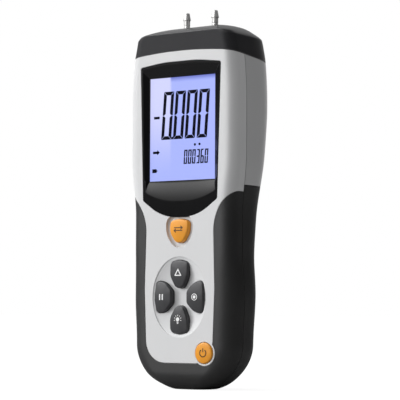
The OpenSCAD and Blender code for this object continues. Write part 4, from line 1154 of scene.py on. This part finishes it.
# CAD pieces that stay
for node, mat in {
        "lcd_glass": "lcd", "backlight_panel": "white_plastic", "lcd_frame": "white_plastic",
        "elastomer_strips": "elastomer", "main_board": "circuit_board", "board_components": "components",
        "keypad_mat": "key_mat", "pressure_sensor": "sensor_plastic", "port_seals": "black_plastic",
        "port_block": "cream_plastic", "port_screws": "steel", "left_tube": "silicone",
        "right_tube": "silicone", "beeper": "black_plastic", "battery": "battery_jacket",
        "battery_snap": "black_plastic", "battery_leads": "leads", "battery_pad": "foam",
        "board_screws": "steel"}.items():
    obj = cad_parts[node]
    if not obj.material_slots:
        obj.data.materials.append(M[mat])
    for s in obj.material_slots:
        s.material = M[mat]

# Floor: near white to the camera, mid grey to every other ray
WHITE = (1, 1, 1, 1)
FLOOR_HALF = 9000
floor = new_object([(-FLOOR_HALF, -FLOOR_HALF, 0), (FLOOR_HALF, -FLOOR_HALF, 0),
                    (FLOOR_HALF, FLOOR_HALF, 0), (-FLOOR_HALF, FLOOR_HALF, 0)], [(0, 1, 2, 3)], "floor")
tree = new_material("floor")
tree.nodes.clear()
camera_ray = add(tree, "LightPath").outputs["Is Camera Ray"]
pale, dim = (add(tree, "BsdfDiffuse", {"Color": (v, v, v, 1)}).outputs[0] for v in (0.95, 0.38))
glow = add(tree, "Emission", {"Color": WHITE, "Strength": 1.13}).outputs[0]
matt = add(tree, "MixShader", {0: camera_ray, 1: dim, 2: pale}).outputs[0]
surface = add(tree, "MixShader", {0: maths(tree, "MULTIPLY", camera_ray, 0.8), 1: matt, 2: glow})
add(tree, "OutputMaterial", {0: surface.outputs[0]})
floor.data.materials.append(M["floor"])

# World: white to camera and transmission rays, softboxes to glossy rays, a broad glow to others
world = bpy.data.worlds.new("studio")
bpy.context.scene.world = world
world.use_nodes = True
tree = world.node_tree
tree.nodes.clear()
way = add(tree, "TexCoord").outputs["Generated"]
path = add(tree, "LightPath").outputs


def lobe(direction, start, end):
    """Strength that rises towards one direction."""
    return ramp(tree, dot(tree, way, Vector(direction).normalized()), start, end, "SMOOTHSTEP")


def background(strength):
    return add(tree, "Background", {"Color": WHITE, "Strength": strength}).outputs[0]


around = lobe((-0.55, -0.55, 0.63), (0.45, 0.95), (0.24, 1.5))
above = lobe((-0.45, -0.45, 0.77), (0.66, 0.97), (0.03, 5.8))
behind = lobe((-0.56, 0.80, 0.2), (0.7, 0.95), (0, 1))
ahead = lobe((-0.2, -0.98, 0.0), (0.93, 0.995), (0, 2.6))
boxes = maths(tree, "ADD", maths(tree, "ADD", above, ahead), behind)
lit = add(tree, "MixShader", {0: path["Is Glossy Ray"], 1: background(around), 2: background(boxes)})
seen = maths(tree, "MAXIMUM", path["Is Camera Ray"], path["Is Transmission Ray"])
surface = add(tree, "MixShader", {0: seen, 1: lit.outputs[0], 2: background(1.0)})
add(tree, "OutputWorld", {0: surface.outputs[0]})


def area_light(name, place, target, size, power, glossy):
    data = bpy.data.lights.new(name, "AREA")
    data.shape = "RECTANGLE"
    data.size, data.size_y = size
    data.energy = power
    obj = bpy.data.objects.new(name, data)
    bpy.context.scene.collection.objects.link(obj)
    obj.location = place
    obj.rotation_euler = (Vector(target) - Vector(place)).to_track_quat("-Z", "Y").to_euler()
    obj.visible_camera = False
    obj.visible_glossy = glossy


# Places and sizes in metres, power in watts; only the top light is mirrored
area_light("key", (-1.7, -1.22, 0.35), (0, 0, 0.1), (0.7, 0.9), 30.5, False)
area_light("top", (-0.9, 0.1, 1.35), (0, 0, 0.16), (0.5, 0.5), 5, True)
area_light("fill", (1.2, 2.0, 0.7), (0, 0, 0.1), (1.0, 1.0), 6, False)
